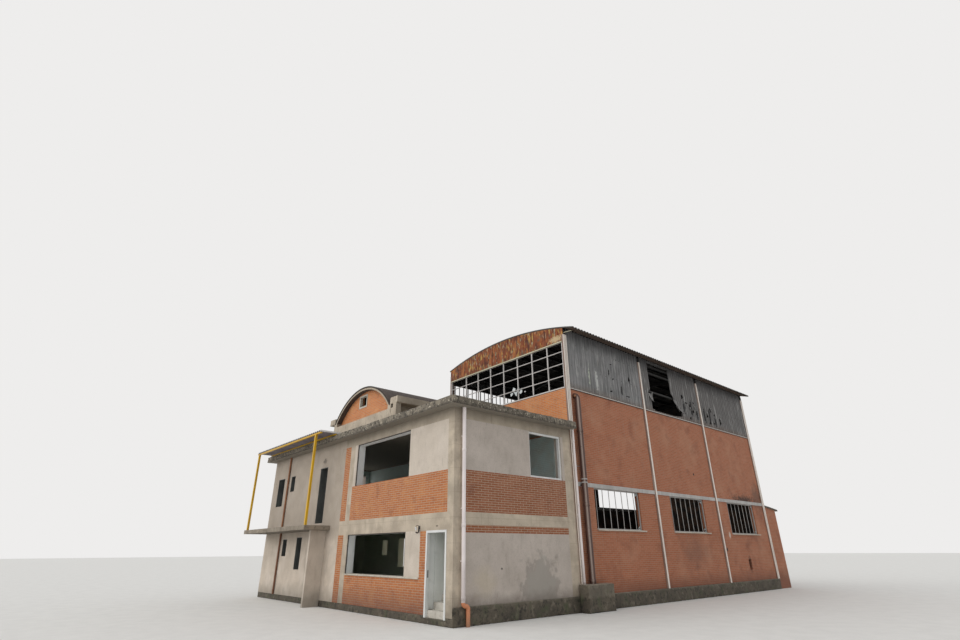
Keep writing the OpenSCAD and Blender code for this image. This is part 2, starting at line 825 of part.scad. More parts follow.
// One bay of upright corrugated sheet, from a height up to the roof
cladding_top = axis_z + sqrt(pow(purlin_top_r, 2) - pow(axis_x + sheet_h - post_in, 2));

module cladding_sheet(i, foot) {
    span = bay_span(i);
    translate([post_in, span[0], foot]) rotate([0, 0, 90])
        linear_extrude(cladding_top - foot) wavy(span[1] - span[0]);
}

// Holes are drawn in hundredths of the bay's width and of the height to the post tops
tear_unit = [(bay - post_w) / 100, (post_top - cladding_z) / 100];
small_tear = [[0, 0.2], [0.35, 0], [1, 0.3], [0.8, 0.8], [0.45, 1], [0.1, 0.6]];

// The big hole in the second bay, ragged along its foot
big_tear = [
    [12.6, 107], [13.1, 53.4], [9.1, 37.9], [13.5, 25.2], [11.8, 7.8], [17.3, 2.9], [49.5, 2.9],
    [64.8, 6.3], [66.3, 19.4], [62.7, 27.2], [60.6, 16], [56.8, 31.1], [53.1, 43.7],
    [50.5, 53.4], [50.1, 107]
];

// Small tears, bay by bay, as (place, height, width, own height)
tears = [
    [[66.3, 83.5, 2.3, 6.8], [56.8, 71.8, 2.7, 2.9], [81.5, 46.6, 3.6, 16], [37.7, 35, 1.9, 7.8],
     [58.5, 41.3, 2.5, 3.9], [54.3, 15.5, 2.3, 2.9], [76.8, 14.6, 5.3, 3.4]],
    [[68.4, 49.5, 3.2, 10.2], [81.1, 30.1, 3.8, 16], [73.7, 39.8, 4.4, 6.3], [89.5, 43.7, 2.9, 11.2],
     [80, 5.8, 3.8, 7.3], [93.1, 17.5, 3.2, 15.5], [87.4, 23.3, 2.5, 7.3]],
    [[10.9, 20.4, 3.8, 16.5], [20.2, 38.8, 4, 11.2], [28.2, 32, 3.2, 5.3], [38.9, 14.6, 4.4, 16],
     [14.7, 7.3, 4.6, 8.3], [24.2, 10.2, 2.3, 4.9]]
];

module tear(points) polygon([for (p = points) [p[0] * tear_unit[0], p[1] * tear_unit[1]]]);

module near_cladding() color("slategray") for (i = [0:bays - 1]) difference() {
    cladding_sheet(i, cladding_z);
    translate([-sheet_h, bay_span(i)[0], cladding_z]) rotate([90, 0, 90])
        linear_extrude(2 * sheet_h) {
            if (i == 1) tear(big_tear);
            if (i < len(tears)) for (t = tears[i])
                tear([for (p = small_tear) [t[0] + p[0] * t[2], t[1] + p[1] * t[3]]]);
        }
}

module far_cladding() color("slategray")
    far_wall() for (i = [0:bays - 1]) cladding_sheet(i, ribbon_head_z + girt_h);

// The steel window grid of the front gable: outer bars, uprights and level bars
module gable_grid() color("lightsteelblue") {
    w = hall_w - 2 * post_in;
    h = grid_head_z - cladding_z;
    pitch = (w - 2 * grid_frame + mullion_w) / (mullions + 1);
    back([hall_y + gable_inset, hall_y + gable_inset + grid_d])
        translate([post_in, cladding_z]) {
            ring(w, h, grid_frame);
            for (k = [1:mullions])
                translate([grid_frame + k * pitch - mullion_w, grid_frame / 2])
                    square([mullion_w, h - grid_frame]);
            for (k = [0:transoms - 1])
                translate([grid_frame / 2, h - transom_drop - k * transom_pitch - transom_w])
                    square([w - grid_frame, transom_w]);
        }
}

// A gable's outline from a height up to the roof, wider above the posts
module gable_outline(foot) intersection() {
    translate([axis_x, axis_z]) circle(r = purlin_top_r, $fn = 360);
    union() {
        translate([post_in, foot]) square([hall_w - 2 * post_in, roof_r]);
        translate([post_in - sheet_h, post_top]) square([hall_w - 2 * (post_in - sheet_h), roof_r]);
    }
}

// Steel sheet over the grid, and over the whole of the back gable
module gable_sheets() color("sienna") {
    back([hall_y + gable_inset, gable_sheet_back]) gable_outline(grid_head_z);
    back([hall_y + hall_back - gable_sheet_back, hall_back - gable_inset])
        gable_outline(cladding_z);
}

// An arched rib over every post line, cut level where it sits on the posts
module roof_ribs() color("slategray") for (i = [0:bays]) intersection() {
    roof_arc([rib_top_r - rib_h, rib_top_r], [-30, 30],
             [post_line(i) - rib_w / 2, post_line(i) + rib_w / 2]);
    block([-post_out, hall_far], [0, hall_back], [post_top, crown_z]);
}

function arc_angle(x) = asin(x / rib_top_r);

module roof_purlins() color("slategray") {
    edge = arc_angle(axis_x - girt_d);
    half = arc_angle(purlin_w / 2);
    for (k = [0:purlins - 1]) {
        mid = edge * (2 * k / (purlins - 1) - 1);
        roof_arc([rib_top_r, purlin_top_r], [mid - half, mid + half],
                 [gable_sheet_back, hall_y + hall_back - gable_sheet_back]);
    }
}

// Corrugated sheet bent over the purlins, from eave to eave
module hall_roof() color("darkslategray") {
    near = asin((axis_x + eave_near) / roof_r);
    far = asin((axis_x + eave_far) / roof_r);
    translate([-axis_x, hall_y, axis_z]) rotate([-90, 0, 0]) rotate([0, 0, -90 - far])
        rotate_extrude(angle = near + far, $fn = 360)
            translate([purlin_top_r, 0]) mirror([1, 0]) rotate(90) wavy(hall_len);
}

// A large pipe that turns into the wall at the top, strapped at the beam
module brown_pipe() color("rosybrown") {
    r = large_pipe_d / 2;
    out = post_out / 2 + pipe_gap + r;
    translate([0, hall_y + large_pipe_y, 0]) {
        translate([out, 0, block_h]) cylinder(h = large_pipe_z - out - block_h, r = r);
        translate([0, 0, large_pipe_z - out]) rotate([90, 0, 0])
            rotate_extrude(angle = 90) translate([out, 0]) circle(r = r);
        translate([post_out / 2, -r, mid_beam_z + steel_t]) cube([pipe_gap + r, 2 * r, clip_w]);
    }
}

leanto_end = hall_back + leanto_d;
function leanto_roof_z(y) = leanto_z - (y - hall_back) * leanto_fall / 1000;

module leanto_side(along) across(along) polygon([
    [hall_back, 0], [leanto_end, 0], [leanto_end, leanto_roof_z(leanto_end)],
    [hall_back, leanto_z]
]);

module leanto_walls() color("sienna") {
    leanto_side([0, brick_t]);
    leanto_side([hall_w - brick_t, hall_w]);
    intersection() {
        leanto_side([0, hall_w]);
        block([0, hall_w], [leanto_end - brick_t, leanto_end], [0, leanto_z]);
    }
}

module leanto_roof() color("dimgray") {
    edge = leanto_end + leanto_out;
    across([-post_out, hall_far]) polygon([
        [hall_back, leanto_z], [edge, leanto_roof_z(edge)],
        [edge, leanto_roof_z(edge) + leanto_roof_t], [hall_back, leanto_z + leanto_roof_t]
    ]);
}

module place() translate([shift_x, shift_y, 0]) children();

place() office_base();
place() office_floor();
place() office_frame();
place() front_brick_panels();
place() side_brick_panels();
place() front_plaster_panels();
place() side_plaster_panels();
place() wing_front_wall();
place() wing_end_wall();
place() wing_back_wall();
place() upper_floor();
place() office_roof();
place() stair_partition();
place() stair_flight();
place() door_step();
place() door_frame();
place() front_window_sill();
place() side_window_frame();
place() balcony();
place() balcony_fin();
place() canopy_frame();
place() canopy_sheet();
place() roof_house_base();
place() roof_house_gables();
place() roof_house_gutters();
place() roof_house_vault();
place() roof_house_window();
place() wall_lamp();
place() white_downpipes();
place() corner_drain();
place() wing_downpipe();
place() hall_base();
place() hall_floor();
place() pipe_block();
place() hall_posts();
place() wall_beams();
place() wall_top_rails();
place() cladding_rails();
place() hall_end_walls();
place() lower_brick();
place() upper_brick();
place() hall_window_sills();
place() near_cladding();
place() far_cladding();
place() gable_grid();
place() gable_sheets();
place() roof_ribs();
place() roof_purlins();
place() hall_roof();
place() brown_pipe();
place() leanto_walls();
place() leanto_roof();
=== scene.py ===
"""Looks of a disused factory building: a two-storey office block, a tall brick hall
with a corrugated barrel roof, a barrel-vaulted roof house and a low lean-to.

Everything is in metres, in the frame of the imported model: x is positive towards the
yard, y runs back from the entrance front, z is up. Lengths along the entrance front
and back from it are turned into x and y by Site.
"""
import logging
import math
import random
from dataclasses import dataclass, field, replace
from enum import Enum

import bmesh
import bpy
from mathutils import Matrix, Vector, noise


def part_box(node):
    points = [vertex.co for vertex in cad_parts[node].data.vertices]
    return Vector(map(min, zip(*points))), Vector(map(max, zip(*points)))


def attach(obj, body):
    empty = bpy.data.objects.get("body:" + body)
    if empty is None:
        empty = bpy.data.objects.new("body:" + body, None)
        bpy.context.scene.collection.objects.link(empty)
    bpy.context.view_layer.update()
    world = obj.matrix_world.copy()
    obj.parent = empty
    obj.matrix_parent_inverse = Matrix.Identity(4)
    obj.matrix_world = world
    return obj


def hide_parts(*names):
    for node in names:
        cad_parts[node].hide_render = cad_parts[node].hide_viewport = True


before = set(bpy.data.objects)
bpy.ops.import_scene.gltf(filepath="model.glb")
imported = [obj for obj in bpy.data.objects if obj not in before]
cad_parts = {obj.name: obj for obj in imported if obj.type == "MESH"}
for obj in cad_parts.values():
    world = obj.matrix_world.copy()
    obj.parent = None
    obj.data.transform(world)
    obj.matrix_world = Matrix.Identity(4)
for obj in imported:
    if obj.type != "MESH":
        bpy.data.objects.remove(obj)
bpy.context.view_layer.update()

log = logging.getLogger("factory")

Point = tuple[float, float, float]
Span = tuple[float, float]
Widths = tuple[float, float, float]
Mesh = bmesh.types.BMesh
Vert = bmesh.types.BMVert
Piece = bpy.types.Object
Tree = bpy.types.NodeTree
Node = bpy.types.Node
Socket = bpy.types.NodeSocket


# Places and helpers


class Site:
    """Sizes that many pieces share, and the turning of measured distances into x and y."""

    corner_x = 6.725
    front_y = -10.375
    wall_t = 0.3
    hall_y = 5.13
    hall_w = 6.86
    bay = 4.96
    bays = 3
    post_w = 0.19
    post_in = 0.03
    window_w = 2.75
    window_off = 0.09
    wave = 0.177

    @classmethod
    def x(cls, along: float) -> float:
        """Gives x for a distance left of the near corner."""
        return cls.corner_x - along

    @classmethod
    def y(cls, deep: float) -> float:
        """Gives y for a distance back from the entrance front."""
        return cls.front_y + deep

    @classmethod
    def post_line(cls, i: int) -> float:
        """Gives the distance back of post line i of the hall."""
        return cls.hall_y + i * cls.bay + cls.post_w / 2

    @classmethod
    def bay_span(cls, i: int) -> Span:
        """Gives where bay i of the hall begins and ends between its posts, in y."""
        start = cls.y(cls.hall_y + i * cls.bay + cls.post_w)
        return start, start + cls.bay - cls.post_w

    @classmethod
    def window(cls, i: int) -> Span:
        """Gives where window i of the hall begins and ends, in y."""
        middle = cls.post_line(i) + cls.bay / 2 - cls.window_off
        return cls.y(middle - cls.window_w / 2), cls.y(middle + cls.window_w / 2)


def linear(colour: str) -> tuple[float, float, float, float]:
    """Turns an sRGB hex colour into Blender's linear values.

    Args:
        colour: The colour as "#rrggbb".

    Returns:
        Red, green and blue in linear light, and full alpha.
    """
    parts = [int(colour[i : i + 2], 16) / 255 for i in (1, 3, 5)]
    lit = [c / 12.92 if c <= 0.04045 else ((c + 0.055) / 1.055) ** 2.4 for c in parts]
    return lit[0], lit[1], lit[2], 1.0


def add(tree: Tree, kind: str, inputs: dict | None = None, **settings) -> Node:
    """Adds one node with its settings, its values and its links.

    Args:
        tree: The node tree that the node goes into.
        kind: Blender's name for the node.
        inputs: By the input's name or number, a value, a socket to link, or a node
            whose first output is linked.
        settings: Properties of the node.

    Returns:
        The new node.
    """
    node = tree.nodes.new(kind)
    for name, value in settings.items():
        setattr(node, name, value)
    for key, value in (inputs or {}).items():
        source = value.outputs[0] if isinstance(value, Node) else value
        if isinstance(source, Socket):
            tree.links.new(source, node.inputs[key])
        else:
            node.inputs[key].default_value = source
    return node


# Layers of colour


class Run(Enum):
    """Which way a stain's cells are drawn out, as factors on its size along x, y and z."""

    EVEN = (1.0, 1.0, 1.0)
    DOWN = (1.0, 1.0, 14.0)
    SAG = (1.0, 1.0, 3.5)


class Axis(Enum):
    """The axis that a band or a seam is measured along, as the number of its output."""

    X = 0
    Y = 1
    Z = 2


class Side(Enum):
    """The way a face looks."""

    YARD = (1.0, 0.0, 0.0)
    FAR = (-1.0, 0.0, 0.0)
    FRONT = (0.0, -1.0, 0.0)
    BACK = (0.0, 1.0, 0.0)
    UP = (0.0, 0.0, 1.0)
    DOWN = (0.0, 0.0, -1.0)
    CORNER = (0.7, -0.71, 0.0)


def roughen(tree: Tree, place: Socket, value: Socket, ragged: float, cell: float, detail: float) -> Node:
    """Adds noise to a distance, so that the edge which follows it turns ragged.

    Args:
        tree: The material's node tree.
        place: Object coordinates.
        value: The distance.
        ragged: The most that the noise adds or takes away.
        cell: Size of the noise's cells.
        detail: How finely they are broken up.

    Returns:
        The node that gives the sum.
    """
    cells = add(tree, "ShaderNodeTexNoise", {"Vector": place, "Scale": 1 / cell, "Detail": detail})
    ends = {0: cells, 1: 2 * ragged, 2: -ragged}
    rough = add(tree, "ShaderNodeMath", ends, operation="MULTIPLY_ADD")
    return add(tree, "ShaderNodeMath", {0: value, 1: rough})


@dataclass(frozen=True)
class Layer:
    """Colour laid over a surface as far as its mask reaches; each kind has its own mask."""

    colour: str

    def mask(self, tree: Tree, place: Socket) -> Node:
        """Makes the mask that the colour is laid through.

        Args:
            tree: The material's node tree.
            place: Object coordinates.

        Returns:
            The node that gives 0 where the colour is absent and 1 where it covers.
        """
        raise NotImplementedError

    def lay(self, tree: Tree, place: Socket, under: Socket) -> Socket:
        """Mixes the colour over the one below it.

        Args:
            tree: The material's node tree.
            place: Object coordinates.
            under: The colour below.

        Returns:
            The mixed colour.
        """
        pair = {0: self.mask(tree, place), 6: under, 7: linear(self.colour)}
        return add(tree, "ShaderNodeMix", pair, data_type="RGBA").outputs[2]


@dataclass(frozen=True)
class Stain(Layer):
    """Colour laid over a surface in noisy cells of a real size.

    The cells are size metres across; start and end are the noise values between which
    the colour comes in, so a start near 0.5 covers half of the surface.
    """

    size: float
    start: float = 0.5
    end: float = 0.7
    strength: float = 0.6
    run: Run = Run.EVEN
    seed: float = 0.0
    detail: float = 4.0

    def mask(self, tree: Tree, place: Socket) -> Node:
        """Makes the mask of noisy cells.

        Args:
            tree: The material's node tree.
            place: Object coordinates.

        Returns:
            The node that gives the mask.
        """
        scale = tuple(1 / (self.size * factor) for factor in self.run.value)
        shift = (self.seed * 3.7, self.seed * 5.3, self.seed)
        at = add(tree, "ShaderNodeMapping", {0: place, 1: shift, 3: scale})
        cells = add(tree, "ShaderNodeTexNoise", {"Vector": at, "Scale": 1.0, "Detail": self.detail})
        ends = {1: self.start, 2: self.end, 3: 0.0, 4: self.strength}
        return add(tree, "ShaderNodeMapRange", {0: cells, **ends})


@dataclass(frozen=True)
class Patch(Layer):
    """One stain at a known place, such as a patch of dirt or of painted shade, fading outwards with a
    ragged edge.
    """

    centre: Point
    reach: Point
    strength: float = 0.6
    ragged: float = 0.7
    cell: float = 0.15
    soft: float = 0.5

    def mask(self, tree: Tree, place: Socket) -> Node:
        """Makes the mask from the distance to the centre, counted in the patch's reach.

        Args:
            tree: The material's node tree.
            place: Object coordinates.

        Returns:
            The node that gives the mask.
        """
        off = add(tree, "ShaderNodeVectorMath", {0: place, 1: self.centre}, operation="SUBTRACT")
        share = add(tree, "ShaderNodeVectorMath", {0: off, 1: self.reach}, operation="DIVIDE")
        far = add(tree, "ShaderNodeVectorMath", {0: share}, operation="LENGTH").outputs["Value"]
        edge = roughen(tree, place, far, self.ragged, self.cell, detail=3.0)
        ends = {1: 1.0 - self.soft, 2: 1.0, 3: self.strength, 4: 0.0}
        return add(tree, "ShaderNodeMapRange", {0: edge, **ends})


@dataclass(frozen=True)
class Band(Layer):
    """Colour that comes in along x, y or z between two places, such as splashed dirt or painted shade under
    a slab.
    """

    axis: Axis
    start: float
    end: float
    strength: float = 0.6
    ragged: float = 0.0
    cell: float = 0.3

    def mask(self, tree: Tree, place: Socket) -> Node:
        """Makes the mask from the place along the axis.

        Args:
            tree: The material's node tree.
            place: Object coordinates.

        Returns:
            The node that gives the mask.
        """
        along = add(tree, "ShaderNodeSeparateXYZ", {0: place}).outputs[self.axis.value]
        at = roughen(tree, place, along, self.ragged, self.cell, detail=5.0)
        ends = {1: self.start, 2: self.end, 3: 0.0, 4: self.strength}
        return add(tree, "ShaderNodeMapRange", {0: at, **ends})


@dataclass(frozen=True)
class Room(Layer):
    """Colour on every surface that bounds one room, given by the room's corners: wall paint in the office
    rooms, painted shade in the hall and behind the gable sheets.

    The colour has worn thin in cells of a real size, and what is below shows there.
    """

    low: Point
    high: Point
    slack: float = 0.012
    cell: float = 0.4
    worn: float = 0.12

    def mask(self, tree: Tree, place: Socket) -> Node:
        """Makes the mask of the room's box, thinned where the colour has worn.

        Args:
            tree: The material's node tree.
            place: Object coordinates.

        Returns:
            The node that gives the mask.
        """
        middle = tuple((a + b) / 2 for a, b in zip(self.low, self.high))
        half = tuple((b - a) / 2 + self.slack for a, b in zip(self.low, self.high))
        off = add(tree, "ShaderNodeVectorMath", {0: place, 1: middle}, operation="SUBTRACT")
        size = add(tree, "ShaderNodeVectorMath", {0: off}, operation="ABSOLUTE")
        share = add(tree, "ShaderNodeVectorMath", {0: size, 1: half}, operation="DIVIDE")
        part = add(tree, "ShaderNodeSeparateXYZ", {0: share}).outputs
        most = add(tree, "ShaderNodeMath", {0: part[0], 1: part[1]}, operation="MAXIMUM")
        most = add(tree, "ShaderNodeMath", {0: most, 1: part[2]}, operation="MAXIMUM")
        inside = add(tree, "ShaderNodeMath", {0: most, 1: 1.0}, operation="LESS_THAN")
        cells = add(tree, "ShaderNodeTexNoise", {"Vector": place, "Scale": 1 / self.cell, "Detail": 5.0})
        thin = add(tree, "ShaderNodeMapRange", {0: cells, 1: 0.4, 2: 0.6, 3: 1.0, 4: 1.0 - self.worn})
        return add(tree, "ShaderNodeMath", {0: inside, 1: thin}, operation="MULTIPLY")


@dataclass(frozen=True)
class Seams(Layer):
    """Thin lines at a real spacing along x, y or z, such as laps between sheets."""

    axis: Axis
    pitch: float
    width: float
    strength: float = 0.7
    origin: float = 0.0

    def mask(self, tree: Tree, place: Socket) -> Node:
        """Makes the mask of evenly spaced lines.

        Args:
            tree: The material's node tree.
            place: Object coordinates.

        Returns:
            The node that gives the mask.
        """
        along = add(tree, "ShaderNodeSeparateXYZ", {0: place}).outputs[self.axis.value]
        off = add(tree, "ShaderNodeMath", {0: along, 1: self.origin}, operation="SUBTRACT")
        turn = add(tree, "ShaderNodeMath", {0: off, 1: self.pitch}, operation="FLOORED_MODULO")
        line = add(tree, "ShaderNodeMath", {0: turn, 1: self.width}, operation="LESS_THAN")
        return add(tree, "ShaderNodeMath", {0: line, 1: self.strength}, operation="MULTIPLY")


@dataclass(frozen=True)
class Facing(Layer):
    """Colour on the faces that look one way, such as the bare rim of a felted vault, painted shade on
    undersides or a painted highlight.
    """

    side: Side
    least: float = 0.6
    strength: float = 0.8
    blur: float = 0.05

    def mask(self, tree: Tree, place: Socket) -> Node:
        """Makes the mask from how squarely a face looks that way.

        Args:
            tree: The material's node tree.
            place: Object coordinates, which this kind doesn't need.

        Returns:
            The node that gives the mask.
        """
        normal = add(tree, "ShaderNodeNewGeometry").outputs["True Normal"]
        both = {0: normal, 1: self.side.value}
        lean = add(tree, "ShaderNodeVectorMath", both, operation="DOT_PRODUCT").outputs["Value"]
        ends = {1: self.least - self.blur, 2: self.least + self.blur, 3: 0.0, 4: self.strength}
        return add(tree, "ShaderNodeMapRange", {0: lean, **ends})


# Finishes


@dataclass(frozen=True)
class Finish:
    """One weathered surface: a ground colour with grain, and layers laid over it.

    grain is the size in metres of the grain that the bump and the roughness follow,
    relief is how far it stands up, mottle is the size of the ground's broad clouds, and
    sheen is how far the roughness varies.
    """

    name: str
    ground: str
    second: str
    layers: tuple[Layer, ...] = ()
    roughness: float = 0.85
    grain: float = 0.02
    relief: float = 0.003
    metallic: float = 0.0
    mottle: float = 0.5
    sheen: float = 0.08

    def base(self, tree: Tree, place: Socket) -> tuple[Socket, Socket]:
        """Makes the ground colour and the height that the bump follows.

        Args:
            tree: The material's node tree.
            place: Object coordinates.

        Returns:
            The colour and the height.
        """
        wide = add(tree, "ShaderNodeTexNoise", {"Vector": place, "Scale": 1 / self.mottle, "Detail": 6.0})
        fine = add(tree, "ShaderNodeTexNoise", {"Vector": place, "Scale": 1 / self.grain, "Detail": 3.0})
        both = add(tree, "ShaderNodeMath", {0: fine, 1: 0.45, 2: wide}, operation="MULTIPLY_ADD")
        mask = add(tree, "ShaderNodeMapRange", {0: both, 1: 0.55, 2: 0.9})
        pair = {0: mask, 6: linear(self.ground), 7: linear(self.second)}
        return add(tree, "ShaderNodeMix", pair, data_type="RGBA").outputs[2], fine.outputs[0]

    def build(self) -> bpy.types.Material:
        """Builds the material once, and gives the same one again when asked again.

        Returns:
            The material.
        """
        known = bpy.data.materials.get(self.name)
        if known is not None:
            return known
        material = bpy.data.materials.new(self.name)
        material.use_nodes = True
        tree = material.node_tree
        tree.nodes.clear()
        place = add(tree, "ShaderNodeTexCoord").outputs["Object"]
        colour, height = self.base(tree, place)
        # Room colours, wall paint and painted shade, go over the stains of the bare wall
        for layer in sorted(self.layers, key=lambda layer: isinstance(layer, Room)):
            colour = layer.lay(tree, place, colour)
        ends = {3: self.roughness - self.sheen, 4: min(1.0, self.roughness + self.sheen)}
        rough = add(tree, "ShaderNodeMapRange", {0: height, 1: 0.3, 2: 0.7, **ends})
        bump = add(tree, "ShaderNodeBump", {"Height": height, "Distance": self.relief, "Strength": 0.7})
        surface = {"Base Color": colour, "Roughness": rough, "Metallic": self.metallic, "Normal": bump}
        shader = add(tree, "ShaderNodeBsdfPrincipled", surface)
        add(tree, "ShaderNodeOutputMaterial", {0: shader})
        material.diffuse_color = linear(self.ground)
        return material


@dataclass(frozen=True)
class Brickwork(Finish):
    """Brick in running courses: x or y runs along the wall, whichever the face follows."""

    grain: float = 0.012
    relief: float = 0.006
    joint: str = "#b5a48c"
    course: float = 0.065
    length: float = 0.26
    joint_w: float = 0.012

    def base(self, tree: Tree, place: Socket) -> tuple[Socket, Socket]:
        """Makes the brick pattern on upright and on level faces.

        Args:
            tree: The material's node tree.
            place: Object coordinates.

        Returns:
            The colour and the height.
        """
        normal = add(tree, "ShaderNodeNewGeometry").outputs["True Normal"]
        size = add(tree, "ShaderNodeVectorMath", {0: normal}, operation="ABSOLUTE")
        facing = add(tree, "ShaderNodeSeparateXYZ", {0: size}).outputs
        at = add(tree, "ShaderNodeSeparateXYZ", {0: place}).outputs
        side = add(tree, "ShaderNodeMath", {0: facing[0], 1: 0.5}, operation="GREATER_THAN")
        flat = add(tree, "ShaderNodeMath", {0: facing[2], 1: 0.5}, operation="GREATER_THAN")
        run = add(tree, "ShaderNodeMix", {0: side, 2: at[0], 3: at[1]})
        rise = add(tree, "ShaderNodeMix", {0: flat, 2: at[2], 3: at[1]})
        courses = {
            "Vector": add(tree, "ShaderNodeCombineXYZ", {0: run, 1: rise}),
            "Color1": linear(self.ground),
            "Color2": linear(self.second),
            "Mortar": linear(self.joint),
            "Scale": 1.0,
            "Mortar Size": self.joint_w / 2,
            "Mortar Smooth": 0.2,
            "Brick Width": self.length,
            "Row Height": self.course,
        }
        brick = add(tree, "ShaderNodeTexBrick", courses).outputs
        fine = add(tree, "ShaderNodeTexNoise", {"Vector": place, "Scale": 1 / self.grain, "Detail": 4.0})
        raked = {0: brick["Fac"], 1: -0.8, 2: fine}
        height = add(tree, "ShaderNodeMath", raked, operation="MULTIPLY_ADD")
        return brick[0], height.outputs[0]


def office_room(colour: str, rise: Span, left: float = 13.3, deep: Span = (0.3, 5.11)) -> Room:
    """Gives the paint of one storey of the office block.

    Args:
        colour: The paint's colour.
        rise: Heights of its floor and its ceiling.
        left: How far left of the near corner it reaches.
        deep: How far back from the front it begins and ends.

    Returns:
        The layer of paint.
    """
    low = (Site.x(left), Site.y(deep[0]), rise[0])
    return Room(colour, low, (Site.x(Site.wall_t), Site.y(deep[1]), rise[1]))


GROUND_RISE = (0.15, 2.57)
UPPER_RISE = (2.75, 5.58)
GROUND_ROOM = office_room("#d3dbc8", GROUND_RISE)
UPPER_ROOM = office_room("#d9e8e4", UPPER_RISE)
# The hall's gable wall closes the same rooms at the back, as far as the hall is wide
BACK_WALL = (5.0, 5.13)
GROUND_BACK = office_room("#d3dbc8", GROUND_RISE, Site.hall_w, BACK_WALL)
UPPER_BACK = office_room("#d9e8e4", UPPER_RISE, Site.hall_w, BACK_WALL)
# Painted shade: every surface inside the hall is painted near black for the darkness in it
HALL_SHADE = Room("#1f1d1b", (Site.x(6.665), Site.y(5.3), 0.0), (Site.x(0.195), Site.y(20.03), 7.26))
HALL_LOW = Site.y(Site.hall_y)
SECOND_BAY = Site.y(Site.hall_y + Site.bay + Site.post_w / 2)
# Marks are laid on two upright faces towards the yard: the walls and the cladding
WALL_X = 6.72
SHEET_X = 6.76

# Wire-cut facing brick: orange with pale raked joints, dirty where rain splashes it
FRONT_BRICK = Brickwork(
    "facing_brick_front",
    "#ba7444",
    "#ac663c",
    (
        GROUND_ROOM,
        UPPER_ROOM,
        Stain("#c79060", 0.5, 0.52, 0.72, 0.55),
        Stain("#7a432c", 0.35, 0.56, 0.74, 0.4, seed=3),
        Stain("#958973", 0.12, 0.62, 0.75, 0.35, Run.DOWN, seed=5),
        Band("#61443c", Axis.Z, 0.85, 0.15, 0.75, 0.12, 0.3),
    ),
)
# The same brick on the yard side: painted duller and redder as shade, since it faces away from the light
SIDE_BRICK = Brickwork(
    "facing_brick_side",
    "#985f44",
    "#8c5438",
    (
        GROUND_ROOM,
        UPPER_ROOM,
        Stain("#ac7f63", 0.5, 0.52, 0.72, 0.45),
        Stain("#66382b", 0.4, 0.56, 0.76, 0.45, seed=3),
    ),
)
# The hall's brick is the same clay, greyer with soot and with pale lime runs
HALL_BRICK = Brickwork(
    "facing_brick_hall",
    "#ac694b",
    "#a16042",
    (
        HALL_SHADE,
        Stain("#b48468", 0.9, 0.5, 0.7, 0.5),
        Stain("#784937", 0.6, 0.54, 0.75, 0.5, seed=2),
        Stain("#9c8675", 0.1, 0.6, 0.75, 0.3, Run.DOWN, seed=4),
        Patch("#2b2421", (WALL_X, Site.y(18.1), 3.93), (0.5, 1.5, 0.3), 0.85, 0.9, 0.1, 0.7),
        Patch("#4a3a33", (WALL_X, Site.y(19.7), 4.15), (0.5, 0.8, 0.9), 0.6, 0.7, 0.3, 0.8),
        Patch("#6b5145", (WALL_X, Site.y(12.6), 1.6), (0.5, 1.5, 0.8), 0.45, 0.7, 0.3, 0.9),
        Patch("#5c4038", (WALL_X, Site.y(15.2), 2.4), (0.5, 0.35, 0.9), 0.35, 0.5, 0.2, 0.9),
        # Two small holes, painted as dark spots of shade
        Patch("#2a2422", (WALL_X, Site.y(13.5), 4.8), (0.3, 0.07, 0.07), 0.95, 0.3, 0.05),
        Patch("#2a2422", (WALL_X, Site.y(15.4), 1.75), (0.3, 0.08, 0.1), 0.95, 0.3, 0.05),
        Patch("#d8cfc4", (WALL_X, Site.y(15.9), 2.35), (0.3, 0.1, 0.16), 0.7, 0.5, 0.06),
        Patch("#201c1a", (WALL_X, Site.y(17.45), 1.15), (0.4, 0.2, 0.42), 0.7, 0.5, 0.06, 0.6),
        Band("#6d4636", Axis.Z, 0.95, 0.5, 0.6, 0.15, 0.3),
    ),
    joint="#a3876f",
)
# The gable faces the light: dusty orange brick painted brighter as light, with wall paint where it closes
# an office room and painted shade inside the hall
GABLE_BRICK = Brickwork(
    "facing_brick_gable",
    "#d3864e",
    "#c77845",
    (
        GROUND_BACK,
        UPPER_BACK,
        HALL_SHADE,
        Stain("#dda572", 0.5, 0.5, 0.72, 0.5),
        Stain("#8d5640", 0.35, 0.58, 0.76, 0.4, seed=6),
        Patch("#7d5b49", (Site.x(3.4), HALL_LOW, 5.7), (5.0, 1.0, 0.45), 0.6, 0.15, 0.2, 0.4),
    ),
)
# Cement render: beige-grey, rain-streaked, with damp rising from the base and painted shade under the roof
# slab
FRONT_PLASTER = Finish(
    "cement_render_front",
    "#cdc1b3",
    "#c0b4a6",
    (
        GROUND_ROOM,
        UPPER_ROOM,
        Stain("#dcd0c4", 0.7, 0.5, 0.7, 0.45),
        Stain("#a89c8e", 0.16, 0.56, 0.78, 0.4, Run.SAG, seed=2),
        Stain("#8b8174", 0.035, 0.64, 0.76, 0.5, Run.DOWN, seed=4),
        Stain("#5f584f", 0.03, 0.7, 0.76, 0.6, Run.SAG, seed=6),
        Stain("#a59a8c", 0.03, 0.5, 0.7, 0.3, seed=12),
        # Painted shade: darker towards the top, under the roof slab
        Band("#8f8477", Axis.Z, 5.35, 5.6, 0.55, 0.12, 0.25),
        Band("#7d766b", Axis.Z, 0.7, 0.2, 0.6, 0.2, 0.3),
    ),
    grain=0.008,
    relief=0.002,
)
